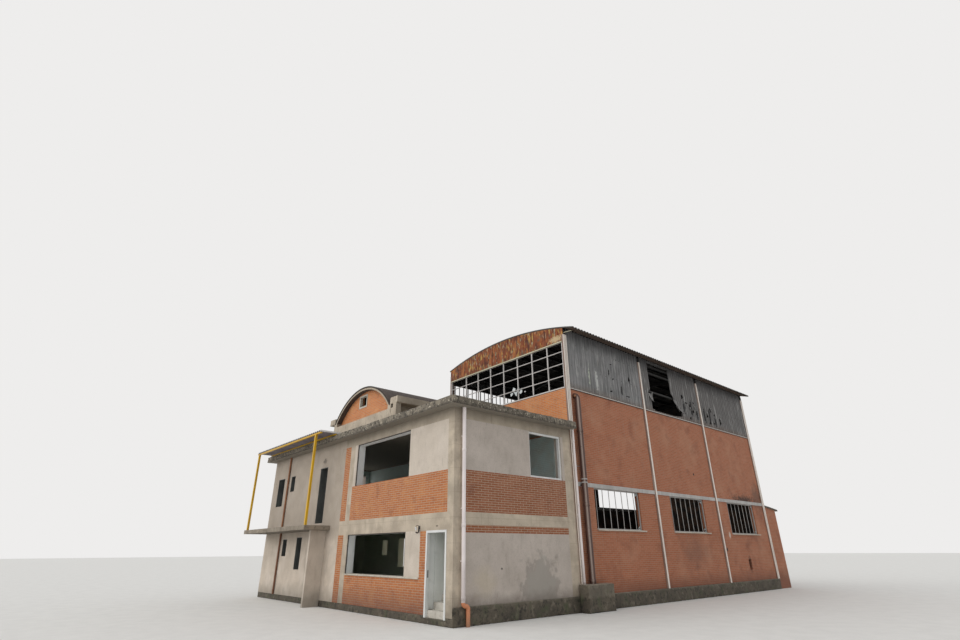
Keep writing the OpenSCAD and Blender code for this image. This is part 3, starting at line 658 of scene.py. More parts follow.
# The same render on the yard side: greyer, mended low down, with dark rain runs, and painted shade under
# the roof slab
SIDE_PLASTER = Finish(
    "cement_render_side",
    "#bdb2a8",
    "#b0a59b",
    (
        GROUND_ROOM,
        UPPER_ROOM,
        Stain("#c9bdb3", 0.8, 0.5, 0.7, 0.4),
        Stain("#978c81", 0.16, 0.56, 0.78, 0.4, Run.SAG, seed=2),
        Stain("#7a7067", 0.03, 0.64, 0.76, 0.5, Run.DOWN, seed=4),
        Stain("#5d564e", 0.03, 0.7, 0.76, 0.6, Run.SAG, seed=6),
        Stain("#8f867b", 0.03, 0.5, 0.7, 0.3, seed=12),
        Patch("#827c75", (WALL_X, Site.y(3.3), 0.85), (0.5, 0.85, 0.85), 0.5, 0.9, 0.3, 0.2),
        Patch("#9f9990", (WALL_X, Site.y(3.35), 0.75), (0.5, 0.7, 0.7), 0.6, 0.9, 0.45, 0.2),
        Patch("#2b2826", (WALL_X, Site.y(1.75), 1.3), (0.3, 0.035, 0.035), 0.95, 0.2, 0.05),
        Patch("#b8a98c", (WALL_X, Site.y(1.1), 1.0), (0.5, 0.5, 0.45), 0.35, 0.6, 0.2, 0.7),
        Band("#70665d", Axis.Z, 0.75, 0.45, 0.6, 0.2, 0.3),
        # Painted shade: darker towards the top, under the roof slab
        Band("#80766c", Axis.Z, 5.4, 5.6, 0.5, 0.1, 0.2),
    ),
    grain=0.008,
    relief=0.002,
)
# The same render on the wing, darkened under the balcony slab and under the canopy, partly by dirt and
# partly as painted shade
WING_PLASTER = replace(
    FRONT_PLASTER,
    name="cement_render_wing",
    ground="#d0c2b2",
    second="#c1b3a3",
    layers=(
        *FRONT_PLASTER.layers,
        # Painted shade with some dirt: the lower wall under the balcony, the upper wall under the canopy,
        # and a band just below the slab
        Patch("#7a7166", (Site.x(8.2), Site.y(0.0), 1.3), (1.15, 0.4, 1.5), 0.5, 0.5, 0.4, 0.6),
        Patch("#857b70", (Site.x(8.1), Site.y(0.0), 4.0), (0.75, 0.4, 1.3), 0.4, 0.5, 0.4, 0.7),
        Band("#7d7368", Axis.Z, 2.05, 2.5, 0.45, 0.15, 0.3),
        Patch("#4a433b", (Site.x(8.35), Site.y(0.0), 5.06), (0.16, 0.1, 0.12), 0.6, 0.9, 0.05, 0.4),
    ),
)
# Cast concrete of the frame: board-marked, with dark runs, and painted shade below the roof slab
FRAME_CONCRETE = Finish(
    "cast_concrete_frame",
    "#c2b4a1",
    "#a79a89",
    (
        GROUND_ROOM,
        UPPER_ROOM,
        Stain("#d6c7b1", 0.4, 0.52, 0.7, 0.5),
        Stain("#8f8373", 0.07, 0.6, 0.76, 0.5, Run.DOWN, seed=1),
        Stain("#59534a", 0.03, 0.67, 0.75, 0.7, Run.SAG, seed=3),
        Seams("#8f8272", Axis.Z, 0.65, 0.012, 0.35),
        # Painted shade of a small dent above the doorway
        Patch("#4b443b", (Site.x(0.73), Site.y(0.0), 2.4), (0.07, 0.05, 0.022), 0.8, 0.3, 0.05, 0.4),
        # Painted shade: darker towards the top, below the roof slab
        Band("#6c655a", Axis.Z, 5.15, 5.6, 0.65, 0.15, 0.2),
        Band("#6e665a", Axis.Z, 0.8, 0.25, 0.65, 0.2, 0.2),
    ),
    grain=0.01,
    relief=0.003,
)
# The same concrete round the roof house, drier and paler, with thin dark drips, and painted shade on the
# faces towards the yard
ROOF_HOUSE_CONCRETE = replace(
    FRAME_CONCRETE,
    name="cast_concrete_roof_house",
    layers=(
        Stain("#d2c5b2", 0.3, 0.52, 0.7, 0.5),
        Stain("#857a6b", 0.1, 0.57, 0.72, 0.55, Run.SAG, seed=1),
        Stain("#4f483f", 0.04, 0.64, 0.72, 0.7, seed=3),
        Facing("#5b544a", Side.UP, 0.7, 0.7),
        # Painted shade on the faces towards the yard
        Facing("#6b6357", Side.YARD, 0.7, 0.5),
    ),
)
# Balcony slab: the same concrete, darker all over and stained, with painted shade on its underside
BALCONY_CONCRETE = replace(
    FRAME_CONCRETE,
    name="cast_concrete_balcony",
    ground="#958a7b",
    second="#7b7164",
    layers=(
        Stain("#aca190", 0.3, 0.54, 0.7, 0.5),
        Stain("#4f483f", 0.1, 0.56, 0.7, 0.65, seed=3),
        # Painted shade on the underside
        Facing("#5f584e", Side.DOWN, 0.7, 0.75),
    ),
)
# Weathered roof slab: dark lichen over crumbling edges that show pale fresh concrete, with painted shade on
# the faces towards the yard and along the foot of its edge
ROOF_CONCRETE = Finish(
    "crumbling_roof_concrete",
    "#857c6e",
    "#635b50",
    (
        Stain("#a29886", 0.25, 0.52, 0.66, 0.6),
        Stain("#38332c", 0.09, 0.52, 0.6, 0.8, seed=2),
        Stain("#d3c9b5", 0.06, 0.6, 0.66, 0.8, seed=5),
        Stain("#46443a", 0.4, 0.54, 0.7, 0.45, seed=8),
        # Painted shade on the faces towards the yard and along the foot of the slab's edge
        Facing("#453e36", Side.YARD, 0.7, 0.25),
        Band("#3a342d", Axis.Z, 5.72, 5.66, 0.6, 0.05, 0.12),
        Facing("#8f887c", Side.DOWN, 0.7, 0.75),
        UPPER_ROOM,
    ),
    grain=0.02,
    relief=0.012,
)
# Foundation concrete: damp, mossy and black at the foot, with a pale broken top
BASE_CONCRETE = Finish(
    "mossy_foundation_concrete",
    "#5f574a",
    "#453f36",
    (
        Stain("#857b6b", 0.2, 0.56, 0.7, 0.55),
        Stain("#4a5138", 0.3, 0.52, 0.7, 0.6, seed=2),
        Stain("#2a2622", 0.1, 0.54, 0.66, 0.7, seed=4),
        Band("#9a9181", Axis.Z, 0.38, 0.46, 0.2, 0.08, 0.15),
        Facing("#958d7f", Side.UP, 0.7, 0.5),
    ),
    grain=0.025,
    relief=0.015,
)
# Cement screed of the floors: flat grey, dark where it is worn, painted on the ceiling side
FLOOR_CONCRETE = Finish(
    "worn_cement_screed",
    "#8d8a84",
    "#77746e",
    (
        Stain("#5f5c57", 0.6, 0.5, 0.7, 0.5),
        office_room("#c3c8ba", (2.5, 2.6), deep=(0.3, 5.13)),
    ),
    grain=0.01,
    relief=0.002,
)
# Gloss paint gone chalky: near white with grey runs from the screws
WHITE_PAINT = Finish(
    "chalky_white_paint",
    "#e6e6e4",
    "#d2d3d2",
    (Stain("#a09a90", 0.06, 0.6, 0.75, 0.5, Run.DOWN), Stain("#8c6a4a", 0.03, 0.72, 0.78, 0.6, seed=3)),
    roughness=0.5,
    grain=0.01,
    relief=0.0006,
)
# Distempered wall inside the entrance: clean near white, scuffed low down
WHITE_WALL = Finish(
    "pale_blue_distemper",
    "#f2f3f1",
    "#e6e8e6",
    (Stain("#b8bab5", 0.3, 0.58, 0.78, 0.35), Band("#b8b6ae", Axis.Z, 0.9, 0.2, 0.4, 0.2)),
    roughness=0.8,
    grain=0.006,
    relief=0.001,
)
# Moulded PVC pipe: smooth off-white with dust and rain dirt
WHITE_PLASTIC = Finish(
    "grey_white_pvc",
    "#f0e6e4",
    "#e2d8d6",
    (Stain("#a69c98", 0.05, 0.6, 0.76, 0.5, Run.DOWN), Band("#8d8078", Axis.Z, 1.6, 0.6, 0.5, 0.4)),
    roughness=0.45,
    grain=0.01,
    relief=0.0005,
)
# Drain fitting in orange PVC: satin, faded, dirty at the foot
ORANGE_PLASTIC = Finish(
    "orange_drain_pvc",
    "#d08a63",
    "#bd7650",
    (Stain("#8b5a3c", 0.05, 0.56, 0.7, 0.5), Band("#7a6552", Axis.Z, 0.35, 0.0, 0.6, 0.1)),
    roughness=0.42,
    grain=0.01,
    relief=0.0005,
)
# Red-brown oil paint on steel pipe: rust freckles, and a pale painted highlight down the facets that look
# towards the corner
BROWN_PAINT = Finish(
    "brown_oil_paint",
    "#52352b",
    "#432a22",
    (
        Stain("#6f564c", 0.1, 0.55, 0.75, 0.5, Run.DOWN),
        # Painted highlight: a pale streak on the facets that look towards the corner
        Facing("#b7a79c", Side.CORNER, 0.965, 0.75),
        Stain("#3c2a26", 0.06, 0.6, 0.72, 0.5, seed=2),
        Stain("#8a4b2c", 0.02, 0.66, 0.74, 0.7, seed=5),
    ),
    roughness=0.5,
    grain=0.008,
    relief=0.0008,
)
# Red lead primer on the wing's thin pipe: orange-brown, dull, darker below 2.5 m
RED_LEAD = Finish(
    "red_lead_primer",
    "#9a6a47",
    "#80543a",
    (
        Stain("#b88a64", 0.06, 0.58, 0.74, 0.5, Run.DOWN),
        Stain("#5c3c2b", 0.04, 0.62, 0.72, 0.5, seed=2),
        Band("#6a4a3a", Axis.Z, 2.6, 2.5, 0.6),
    ),
    roughness=0.6,
    grain=0.008,
    relief=0.0006,
)
# Yellow oil paint of the canopy's frame: strong and glossy, with brown runs and rust specks
YELLOW_PAINT = Finish(
    "yellow_oil_paint",
    "#dcae12",
    "#c99b0e",
    (Stain("#8a6a20", 0.06, 0.58, 0.74, 0.5, Run.DOWN), Stain("#6b4a25", 0.02, 0.68, 0.75, 0.7, seed=3)),
    roughness=0.4,
    grain=0.008,
    relief=0.0006,
)
# Galvanised and painted steel sections: pale grey, streaked, with specks of rust
GREY_STEEL = Finish(
    "pale_painted_steel",
    "#b9b6b2",
    "#a29f9b",
    (
        Stain("#83807c", 0.15, 0.54, 0.74, 0.5, Run.DOWN),
        Stain("#6b5a4f", 0.05, 0.64, 0.74, 0.6, seed=2),
        Stain("#8a4f2e", 0.018, 0.7, 0.76, 0.8, seed=4),
    ),
    roughness=0.55,
    grain=0.006,
    relief=0.0006,
)
# Rail under the cladding: a pale line along its top, over a channel painted dark as its own shadow
RAIL_STEEL = Finish(
    "lipped_rail_steel",
    "#3b3532",
    "#2f2a27",
    (Band("#d3cdc6", Axis.Z, 7.2, 7.204, 0.95), Stain("#7a4a30", 0.04, 0.64, 0.74, 0.7, seed=4)),
    roughness=0.6,
    grain=0.006,
    relief=0.0006,
)
# Posts of the hall: pale paint on what stands proud, brick dust in what lies back
POST_STEEL = Finish(
    "dusty_post_steel",
    "#8c7264",
    "#7a6357",
    (
        Band("#ece2d8", Axis.X, Site.x(-0.04), Site.x(-0.042), 0.95),
        Band("#ece2d8", Axis.X, Site.x(Site.hall_w + 0.04), Site.x(Site.hall_w + 0.042), 0.95),
        Stain("#b3a99f", 0.14, 0.54, 0.72, 0.5, Run.DOWN, seed=2),
        Stain("#8a4f2e", 0.03, 0.66, 0.73, 0.8, seed=4),
        Stain("#2e2622", 0.035, 0.69, 0.74, 0.85, seed=9),
    ),
    roughness=0.55,
    grain=0.006,
    relief=0.0006,
)
# The gable's window bars: thin T sections, painted off-white, with specks of rust
BAR_STEEL = Finish(
    "off_white_bar_steel",
    "#d0cbc8",
    "#b8b3af",
    (Stain("#857d77", 0.08, 0.58, 0.74, 0.5), Stain("#7a4a30", 0.03, 0.67, 0.74, 0.7, seed=4)),
    roughness=0.55,
    grain=0.006,
    relief=0.0006,
)
# Rolled steel with most of its paint gone: near black, brown where it rusts
DARK_METAL = Finish(
    "dark_rolled_steel",
    "#46423f",
    "#37332f",
    (Stain("#6a4a38", 0.05, 0.58, 0.72, 0.6), Stain("#7d7670", 0.12, 0.6, 0.75, 0.35, Run.DOWN, seed=2)),
    roughness=0.6,
    grain=0.006,
    relief=0.0008,
)
# The same steel inside the hall: painted near black as the shade inside the hall, with dull rust where the
# paint is gone
SHADE_DARK_STEEL = Finish(
    "shade_dark_rolled_steel",
    "#1f1d1c",
    "#181716",
    (Stain("#38291f", 0.05, 0.62, 0.74, 0.5), Stain("#33302d", 0.12, 0.62, 0.76, 0.3, Run.DOWN, seed=2)),
    roughness=0.7,
    grain=0.006,
    relief=0.0008,
)
# Ragged slits rusted through the cladding, painted black as the shade seen through them: distance back,
# height, half width, half height
PAINTED_GASHES = (
    (7.9, 8.35, 0.05, 0.2),
    (8.7, 7.75, 0.05, 0.26),
    (9.3, 8.3, 0.06, 0.2),
    (13.7, 7.85, 0.1, 0.42),
    (14.35, 7.9, 0.11, 0.4),
    (14.8, 7.65, 0.09, 0.32),
    (15.6, 7.75, 0.09, 0.36),
    (16.1, 7.8, 0.08, 0.34),
    (16.6, 7.6, 0.1, 0.26),
    (17.1, 7.7, 0.07, 0.34),
)
# Corrugated steel cladding: grey zinc with pale rain streaks, darker in bays 2 and 3, with painted shade on
# its inner face and under the eave, and holes painted as black slits
CLADDING = Finish(
    "corrugated_zinc_cladding",
    "#868585",
    "#707070",
    (
        Band("#625f5d", Axis.Y, SECOND_BAY - 0.01, SECOND_BAY + 0.01, 0.85),
        Stain("#b4b3b0", 0.06, 0.55, 0.68, 0.6, Run.DOWN, seed=1),
        Stain("#4a4949", 0.08, 0.54, 0.7, 0.6, Run.DOWN, seed=4),
        Patch("#b9c0ac", (SHEET_X, Site.y(6.6), 7.95), (0.3, 0.06, 0.6), 0.8, 0.8, 0.1, 0.4),
        Patch("#cfd0cb", (SHEET_X, Site.y(7.05), 7.85), (0.3, 0.05, 0.5), 0.7, 0.8, 0.1, 0.4),
        Stain("#5b4a40", 0.05, 0.66, 0.74, 0.55, Run.DOWN, seed=7),
        # Painted shade: the faces towards the hall are painted near black
        Facing("#2c2b2b", Side.FAR, 0.3, 0.85),
        # Painted shade under the eave, darker towards the top
        Band("#4d4e50", Axis.Z, 9.0, 9.35, 0.6, 0.1),
        Band("#6f5c50", Axis.Z, 7.5, 7.25, 0.5, 0.12, 0.1),
        *(
            Patch("#0d0c0c", (SHEET_X, Site.y(deep), high), (0.3, wide, tall), 0.98, 0.7, 0.07, 0.15)
            for deep, high, wide, tall in PAINTED_GASHES
        ),
    ),
    roughness=0.5,
    grain=0.02,
    relief=0.001,
)
# The same zinc on the far side: bluer, with its face towards the hall painted dark as shade
FAR_CLADDING = Finish(
    "corrugated_zinc_far_side",
    "#7c8081",
    "#6c7274",
    (
        Stain("#a9abaa", 0.07, 0.56, 0.68, 0.75, Run.DOWN, seed=1),
        Stain("#4e5357", 0.1, 0.55, 0.7, 0.55, Run.DOWN, seed=4),
        # Painted shade: the faces towards the hall are painted near black
        Facing("#2c2b2b", Side.YARD, 0.3, 0.85),
    ),
    roughness=0.5,
    grain=0.02,
    relief=0.001,
)
# Gloss paint on the lining boards of the wing's door and windows: slate grey, with pale streaks; the boards
# are painted dark as the shade in the openings
SHADE_SLATE_PAINT = Finish(
    "shade_slate_paint",
    "#5c5f5d",
    "#4b4e4c",
    (Stain("#747775", 0.08, 0.56, 0.72, 0.5, Run.DOWN), Stain("#8a8578", 0.02, 0.7, 0.76, 0.6, seed=3)),
    roughness=0.45,
    grain=0.01,
    relief=0.0006,
)
# Painted shade on the inner faces of the two gable sheets, just short of their outer faces
SHEET_LOW, SHEET_HIGH = (corner[1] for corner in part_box("gable_sheets"))
SHEET_BACK_SHADE = Room(
    "#1d1b1a",
    (Site.x(6.9), SHEET_LOW + 0.018, 7.0),
    (Site.x(-0.1), SHEET_HIGH - 0.018, 10.2),
)
# Sheet steel rusted through its paint: rust brown, with ochre and lichen-yellow runs
RUSTY_SHEET = Finish(
    "rusted_sheet_steel",
    "#8f4a24",
    "#6b351b",
    (
        Stain("#ad6a36", 0.15, 0.48, 0.62, 0.8, Run.SAG, seed=1),
        Stain("#bb984f", 0.09, 0.57, 0.64, 0.85, Run.SAG, seed=3),
        Stain("#4a2014", 0.09, 0.52, 0.61, 0.85, Run.SAG, seed=5),
        Stain("#a9a184", 0.07, 0.61, 0.67, 0.85, Run.SAG, seed=8),
        Stain("#5d5348", 0.3, 0.6, 0.7, 0.6, seed=11),
        Seams("#4a2616", Axis.X, 0.98, 0.02, 0.6, 0.35),
        Patch("#cdb78e", (6.4, HALL_LOW, 9.2), (0.36, 0.5, 0.13), 0.8, 1.3, 0.04, 0.3),
        Patch("#5c564c", (6.1, Site.y(20.2), 8.3), (12.0, 0.3, 3.0), 0.45, 0.2, 0.5),
        # Painted shade on the sheets' inner faces
        SHEET_BACK_SHADE,
        Patch("#8d7a66", (Site.x(3.4), HALL_LOW, 9.03), (6.0, 0.5, 0.05), 0.7, 0.2, 0.1),
    ),
    roughness=0.8,
    grain=0.01,
    relief=0.002,
)
# Corrugated roof sheets: grey cement fibre, dark with soot and lichen, with painted shade near black on
# their underside
ROOF_SHEET = Finish(
    "sooty_and_shaded_corrugated_roof",
    "#5d5955",
    "#4a4643",
    (
        # Painted shade: the underside is painted near black
        Facing("#1d1b1a", Side.DOWN, 0.3, 0.95),
        Patch("#6b5a4f", (Site.x(-0.235), 0.0, 9.33), (0.235, 60.0, 0.5), 0.85, 0.1, 0.2, 0.1),
        Facing("#4a4643", Side.UP, 0.1, 1.0),
        Stain("#7c776f", 0.4, 0.54, 0.72, 0.4),
        Stain("#37342f", 0.15, 0.54, 0.7, 0.5, seed=2),
        Stain("#7c7a5a", 0.06, 0.66, 0.74, 0.4, seed=5),
        Seams("#2f2c29", Axis.Y, 1.062, 0.02, 0.6, HALL_LOW),
    ),
    roughness=0.85,
    grain=0.015,
    relief=0.002,
)
# Bitumen felt on the vault: dull brown-grey with laps, and a bare concrete rim in front
VAULT_FELT = Finish(
    "bitumen_roof_felt",
    "#4c423c",
    "#3e352f",
    (
        Stain("#605349", 0.3, 0.54, 0.72, 0.5),
        Seams("#38322e", Axis.Y, 0.93, 0.02, 0.7, Site.y(0.4)),
        Facing("#b3a592", Side.FRONT, 0.7, 0.95),
        Facing("#8d857a", Side.BACK, 0.7, 0.9),
        Stain("#38332d", 0.06, 0.6, 0.72, 0.6, seed=4),
    ),
    grain=0.012,
    relief=0.003,
)
# Turned-down edge of the same felt: black bitumen with grit
FELT_EDGE = Finish(
    "bitumen_felt_edge",
    "#3a332e",
    "#2c2723",
    (Stain("#5c5148", 0.08, 0.56, 0.72, 0.5),),
    grain=0.012,
    relief=0.003,
)
# Ribbed sheet of the canopy: grey with a violet cast, dusty pale on top
CANOPY_SHEET = Finish(
    "ribbed_canopy_sheet",
    "#8d8890",
    "#7a757d",
    (Stain("#5e5a60", 0.2, 0.55, 0.72, 0.5), Facing("#c9cac6", Side.UP, 0.3, 0.6)),
    roughness=0.55,
    grain=0.01,
    relief=0.001,
)
# Cast stone of the sills: pale, chipped, grey with dust
SILL_STONE = Finish(
    "cast_stone_sill",
    "#cfc8ba",
    "#b5ae9f",
    (Stain("#8a8377", 0.06, 0.56, 0.7, 0.6), Stain("#635d53", 0.03, 0.66, 0.74, 0.6, seed=3)),
    grain=0.008,
    relief=0.003,
)
# Cast stone of the steps: pale and evenly worn, a little dirt in the hollows
STEP_STONE = Finish(
    "worn_step_stone",
    "#d0cbc1",
    "#bab4a9",
    (Stain("#8f887c", 0.15, 0.54, 0.7, 0.5),),
    grain=0.006,
    relief=0.002,
)
# Cream paint on the flange under the gable sheet: chalky, with specks of rust and painted shade on its
# underside
CREAM_PAINT = Finish(
    "cream_oil_paint",
    "#cdc8ad",
    "#b7b196",
    (
        Stain("#8c7f66", 0.08, 0.56, 0.72, 0.6, seed=2),
        Stain("#6d4a34", 0.03, 0.64, 0.72, 0.7, seed=6),
        # Painted shade on the underside
        Facing("#6e675a", Side.DOWN, 0.6, 0.6),
    ),
    roughness=0.6,
    grain=0.006,
    relief=0.0006,
)
# Broken window glass, thick with dust: a milky sheet that still catches the light
DUSTY_GLASS = Finish(
    "dusty_broken_glass",
    "#dfe4e4",
    "#c3c9ca",
    (Stain("#9aa0a0", 0.1, 0.55, 0.7, 0.6),),
    roughness=0.25,
    grain=0.01,
    relief=0.0004,
)
# Pale swept concrete: even, so that only the shadow shows on it
SWEPT_FLOOR = Finish(
    "pale_floor",
    "#dedcd8",
    "#d8d6d2",
    roughness=0.9,
    grain=0.05,
    relief=0.0,
)

NODE_FINISH: dict[str, Finish] = {
    "office_floor": FLOOR_CONCRETE,
    "office_frame": FRAME_CONCRETE,
    "front_brick_panels": FRONT_BRICK,
    "side_brick_panels": SIDE_BRICK,
    "front_plaster_panels": FRONT_PLASTER,
    "side_plaster_panels": SIDE_PLASTER,
    "wing_front_wall": WING_PLASTER,
    "wing_end_wall": SIDE_PLASTER,
    "wing_back_wall": SIDE_PLASTER,
    "upper_floor": FLOOR_CONCRETE,
    "stair_partition": WHITE_WALL,
    "stair_flight": STEP_STONE,
    "door_step": STEP_STONE,
    "door_frame": WHITE_PAINT,
    "side_window_frame": WHITE_PAINT,
    "balcony_fin": FRONT_PLASTER,
    "canopy_frame": YELLOW_PAINT,
    "canopy_sheet": CANOPY_SHEET,
    "roof_house_base": ROOF_HOUSE_CONCRETE,
    "roof_house_gables": GABLE_BRICK,
    "roof_house_vault": VAULT_FELT,
    "roof_house_window": SILL_STONE,
    "white_downpipes": WHITE_PLASTIC,
    "corner_drain": ORANGE_PLASTIC,
    "wing_downpipe": RED_LEAD,
    "hall_floor": FLOOR_CONCRETE,
    "wall_beams": GREY_STEEL,
    "wall_top_rails": RAIL_STEEL,
    "cladding_rails": SHADE_DARK_STEEL,
    "hall_end_walls": GABLE_BRICK,
    "lower_brick": HALL_BRICK,
    "upper_brick": HALL_BRICK,
    "near_cladding": CLADDING,
    "far_cladding": FAR_CLADDING,
    "gable_sheets": RUSTY_SHEET,
    "roof_ribs": SHADE_DARK_STEEL,
    "roof_purlins": SHADE_DARK_STEEL,
    "hall_roof": ROOF_SHEET,
    "brown_pipe": BROWN_PAINT,
    "leanto_walls": HALL_BRICK,
}


# Making of pieces


def finish_piece(name: str, bm: Mesh, finish: Finish, smooth: bool = False) -> Piece:
    """Turns a bmesh into a piece at the origin that rides on the building.

    Args:
        name: The piece's name.
        bm: Its shape, in place; it is freed here.
        finish: Its finish.
        smooth: Whether its faces are shaded smooth.

    Returns:
        The new object.
    """
    bmesh.ops.remove_doubles(bm, verts=bm.verts, dist=1e-5)
    bmesh.ops.recalc_face_normals(bm, faces=bm.faces)
    for face in bm.faces:
        face.smooth = smooth
    mesh = bpy.data.meshes.new(name)
    bm.to_mesh(mesh)
    bm.free()
    mesh.materials.append(finish.build())
    piece = bpy.data.objects.new(name, mesh)
    bpy.context.scene.collection.objects.link(piece)
    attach(piece, "root")
    log.info("%s: %d faces", name, len(mesh.polygons))
    return piece


def edges_of(verts: list[Vert]) -> list[bmesh.types.BMEdge]:
    """Gives every edge that meets some vertices."""
    return list({e for v in verts for e in v.link_edges})


def faces_of(verts: list[Vert]) -> list[bmesh.types.BMFace]:
    """Gives every face that meets some vertices."""
    return list({f for v in verts for f in v.link_faces})


def add_block(bm: Mesh, low: Point, high: Point, edge: float = 0.002) -> None:
    """Adds a rectangular bar with bevelled edges.

    Args:
        bm: The mesh that it goes into.
        low: Its lowest corner.
        high: Its highest corner.
        edge: Width of the bevel.
    """
    a, b = Vector(low), Vector(high)
    matrix = Matrix.Translation((a + b) / 2) @ Matrix.Diagonal((*(b - a), 1.0))
    edges = edges_of(bmesh.ops.create_cube(bm, size=1.0, matrix=matrix)["verts"])
    bmesh.ops.bevel(
        bm,
        geom=edges,
        offset=edge,
        offset_type="OFFSET",
        segments=1,
        profile=0.5,
        affect="EDGES",
        material=-1,
    )


def add_frame(bm: Mesh, low: Point, high: Point, widths: Widths, edge: float = 0.002) -> None:
    """Adds the bars round an upright opening: two sides, a foot and a head.

    Args:
        bm: The mesh that they go into.
        low: The lowest corner of the opening's box.
        high: Its highest corner.
        widths: Width of each side, of the foot and of the head; a foot of 0 is left out.
        edge: Width of the bevel.
    """
    side, foot, head = widths
    run = 0 if high[0] - low[0] > high[1] - low[1] else 1
    first_end, last_start = list(high), list(low)
    first_end[run] = low[run] + side
    last_start[run] = high[run] - side
    add_block(bm, low, first_end, edge)
    add_block(bm, last_start, high, edge)
    if foot:
        add_block(bm, low, (high[0], high[1], low[2] + foot), edge)
    add_block(bm, (low[0], low[1], high[2] - head), high, edge)


def add_rod(bm: Mesh, start: Point, end: Point, radius: float, sides: int = 8) -> None:
    """Adds a round bar between two points.

    Args:
        bm: The mesh that it goes into.
        start: The middle of one end.
        end: The middle of the other.
        radius: Its radius.
        sides: How many sides it has.
    """
    a, b = Vector(start), Vector(end)
    turn = (b - a).to_track_quat("Z", "Y").to_matrix().to_4x4()
    bmesh.ops.create_cone(
        bm,
        cap_ends=True,
        segments=sides,
        radius1=radius,
        radius2=radius,
        depth=(b - a).length,
        matrix=Matrix.Translation((a + b) / 2) @ turn,
    )


def add_turned(bm: Mesh, profile: tuple[Span, ...], centre: Point, steps: int = 20) -> None:
    """Spins a profile right round an upright axis.

    Args:
        bm: The mesh that it goes into.
        profile: Points as (distance from the axis, height above its foot).
        centre: The foot of the axis.
        steps: How many steps the turn has.
    """
    verts = [bm.verts.new(Vector(centre) + Vector((r, 0, h))) for r, h in profile]
    edges = [bm.edges.new(pair) for pair in zip(verts, verts[1:])]
    geom = verts + edges
    bmesh.ops.spin(bm, geom=geom, cent=centre, axis=(0, 0, 1), angle=math.tau, steps=steps, use_merge=True)


def add_shard(
    bm: Mesh, middle: Point, across: Point, size: float, thick: float, chance: random.Random
) -> None:
    """Adds a thin plate with a broken outline.

    Args:
        bm: The mesh that it goes into.
        middle: The middle of the plate.
        across: The direction that its face looks.
        size: Its rough radius.
        thick: Its thickness.
        chance: Where the outline's accidents come from.
    """
    turn = Vector(across).to_track_quat("Z", "Y").to_matrix().to_4x4()
    place = Matrix.Translation(middle) @ turn
    corners = chance.choice((4, 5, 6, 7))
    verts = bmesh.ops.create_circle(bm, cap_ends=True, segments=corners, radius=size, matrix=place)["verts"]
    for vert in verts:
        vert.co += (vert.co - Vector(middle)) * chance.uniform(-0.75, 0.15)
    made = bmesh.ops.extrude_face_region(bm, geom=faces_of(verts))
    moved = [v for v in made["geom"] if isinstance(v, Vert)]
    bmesh.ops.translate(bm, verts=moved, vec=Vector(across) * thick)


# Sub-assemblies


@dataclass
class CrumblingConcrete:
    """Cast pieces whose outer edges have crumbled: copies of the solids, cut finer.

    step is the spacing of the cuts and sharp the least angle, in radians, of an edge that
    wears. broad and close are how many cells of coarse and of fine wear lie in a metre.
    """

    step: float = 0.11
    sharp: float = 0.6
    broad: float = 2.3
    close: float = 9.1

    def cut_finer(self, bm: Mesh, node: str) -> None:
        """Cuts a copy of a solid into small fields, so that its edges can wear.

        Args:
            bm: The copy.
            node: The solid's name.
        """
        low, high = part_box(node)
        for axis in range(3):
            span = high[axis] - low[axis]
            count = max(1, int(span / self.step))
            normal = Vector((float(axis == 0), float(axis == 1), float(axis == 2)))
            for k in range(1, count + 1):
                at = normal * (low[axis] + span * k / (count + 1))
                geom = bm.verts[:] + bm.edges[:] + bm.faces[:]
                bmesh.ops.bisect_plane(bm, geom=geom, dist=1e-4, plane_co=at, plane_no=normal)

    def crumble(self, node: str, finish: Finish, slot: str, bite: float) -> Piece:
        """Makes one worn piece that stands for a solid.

        Args:
            node: The solid's name.
            finish: The piece's finish.
            slot: The record's material slot; not used.
            bite: How far the edges wear back.

        Returns:
            The new object.
        """
        bm = bmesh.new()
        bm.from_mesh(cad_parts[node].data)
        bmesh.ops.remove_doubles(bm, verts=bm.verts, dist=0.0002)
        self.cut_finer(bm, node)
        bm.normal_update()
        moves: dict[Vert, Vector] = {}
        for edge in bm.edges:
            if len(edge.link_faces) == 2 and edge.is_convex and edge.calc_face_angle(0) > self.sharp:
                inward = -(edge.link_faces[0].normal + edge.link_faces[1].normal).normalized()
                for vert in edge.verts:
                    moves[vert] = moves.get(vert, Vector()) + inward
        for vert, inward in moves.items():
            slow = noise.noise(vert.co * self.broad)
            fast = noise.noise(vert.co * self.close)
            worn = 0.15 + 0.55 * max(0.0, fast) + 0.9 * max(0.0, slow - 0.15)
            vert.co += inward.normalized() * bite * min(1.0, worn)
        piece = finish_piece(f"{node}_worn", bm, finish)
        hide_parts(node)
        return piece

    def build(self) -> list[Piece]:
        """Builds every worn concrete piece.

        Returns:
            The new pieces.
        """
        return [
            self.crumble(*row)
            for row in (
                ("office_roof", ROOF_CONCRETE, "roof_concrete", 0.045),
                ("office_base", BASE_CONCRETE, "base_concrete", 0.035),
                ("hall_base", BASE_CONCRETE, "base_concrete", 0.045),
                ("pipe_block", BASE_CONCRETE, "base_concrete", 0.06),
                ("balcony", BALCONY_CONCRETE, "frame_concrete", 0.025),
                ("roof_house_gutters", ROOF_HOUSE_CONCRETE, "roof_concrete", 0.03),
                ("front_window_sill", SILL_STONE, "sill_stone", 0.01),
                ("hall_window_sills", SILL_STONE, "sill_stone", 0.015),
                ("leanto_roof", ROOF_CONCRETE, "roof_concrete", 0.02),
            )
        ]


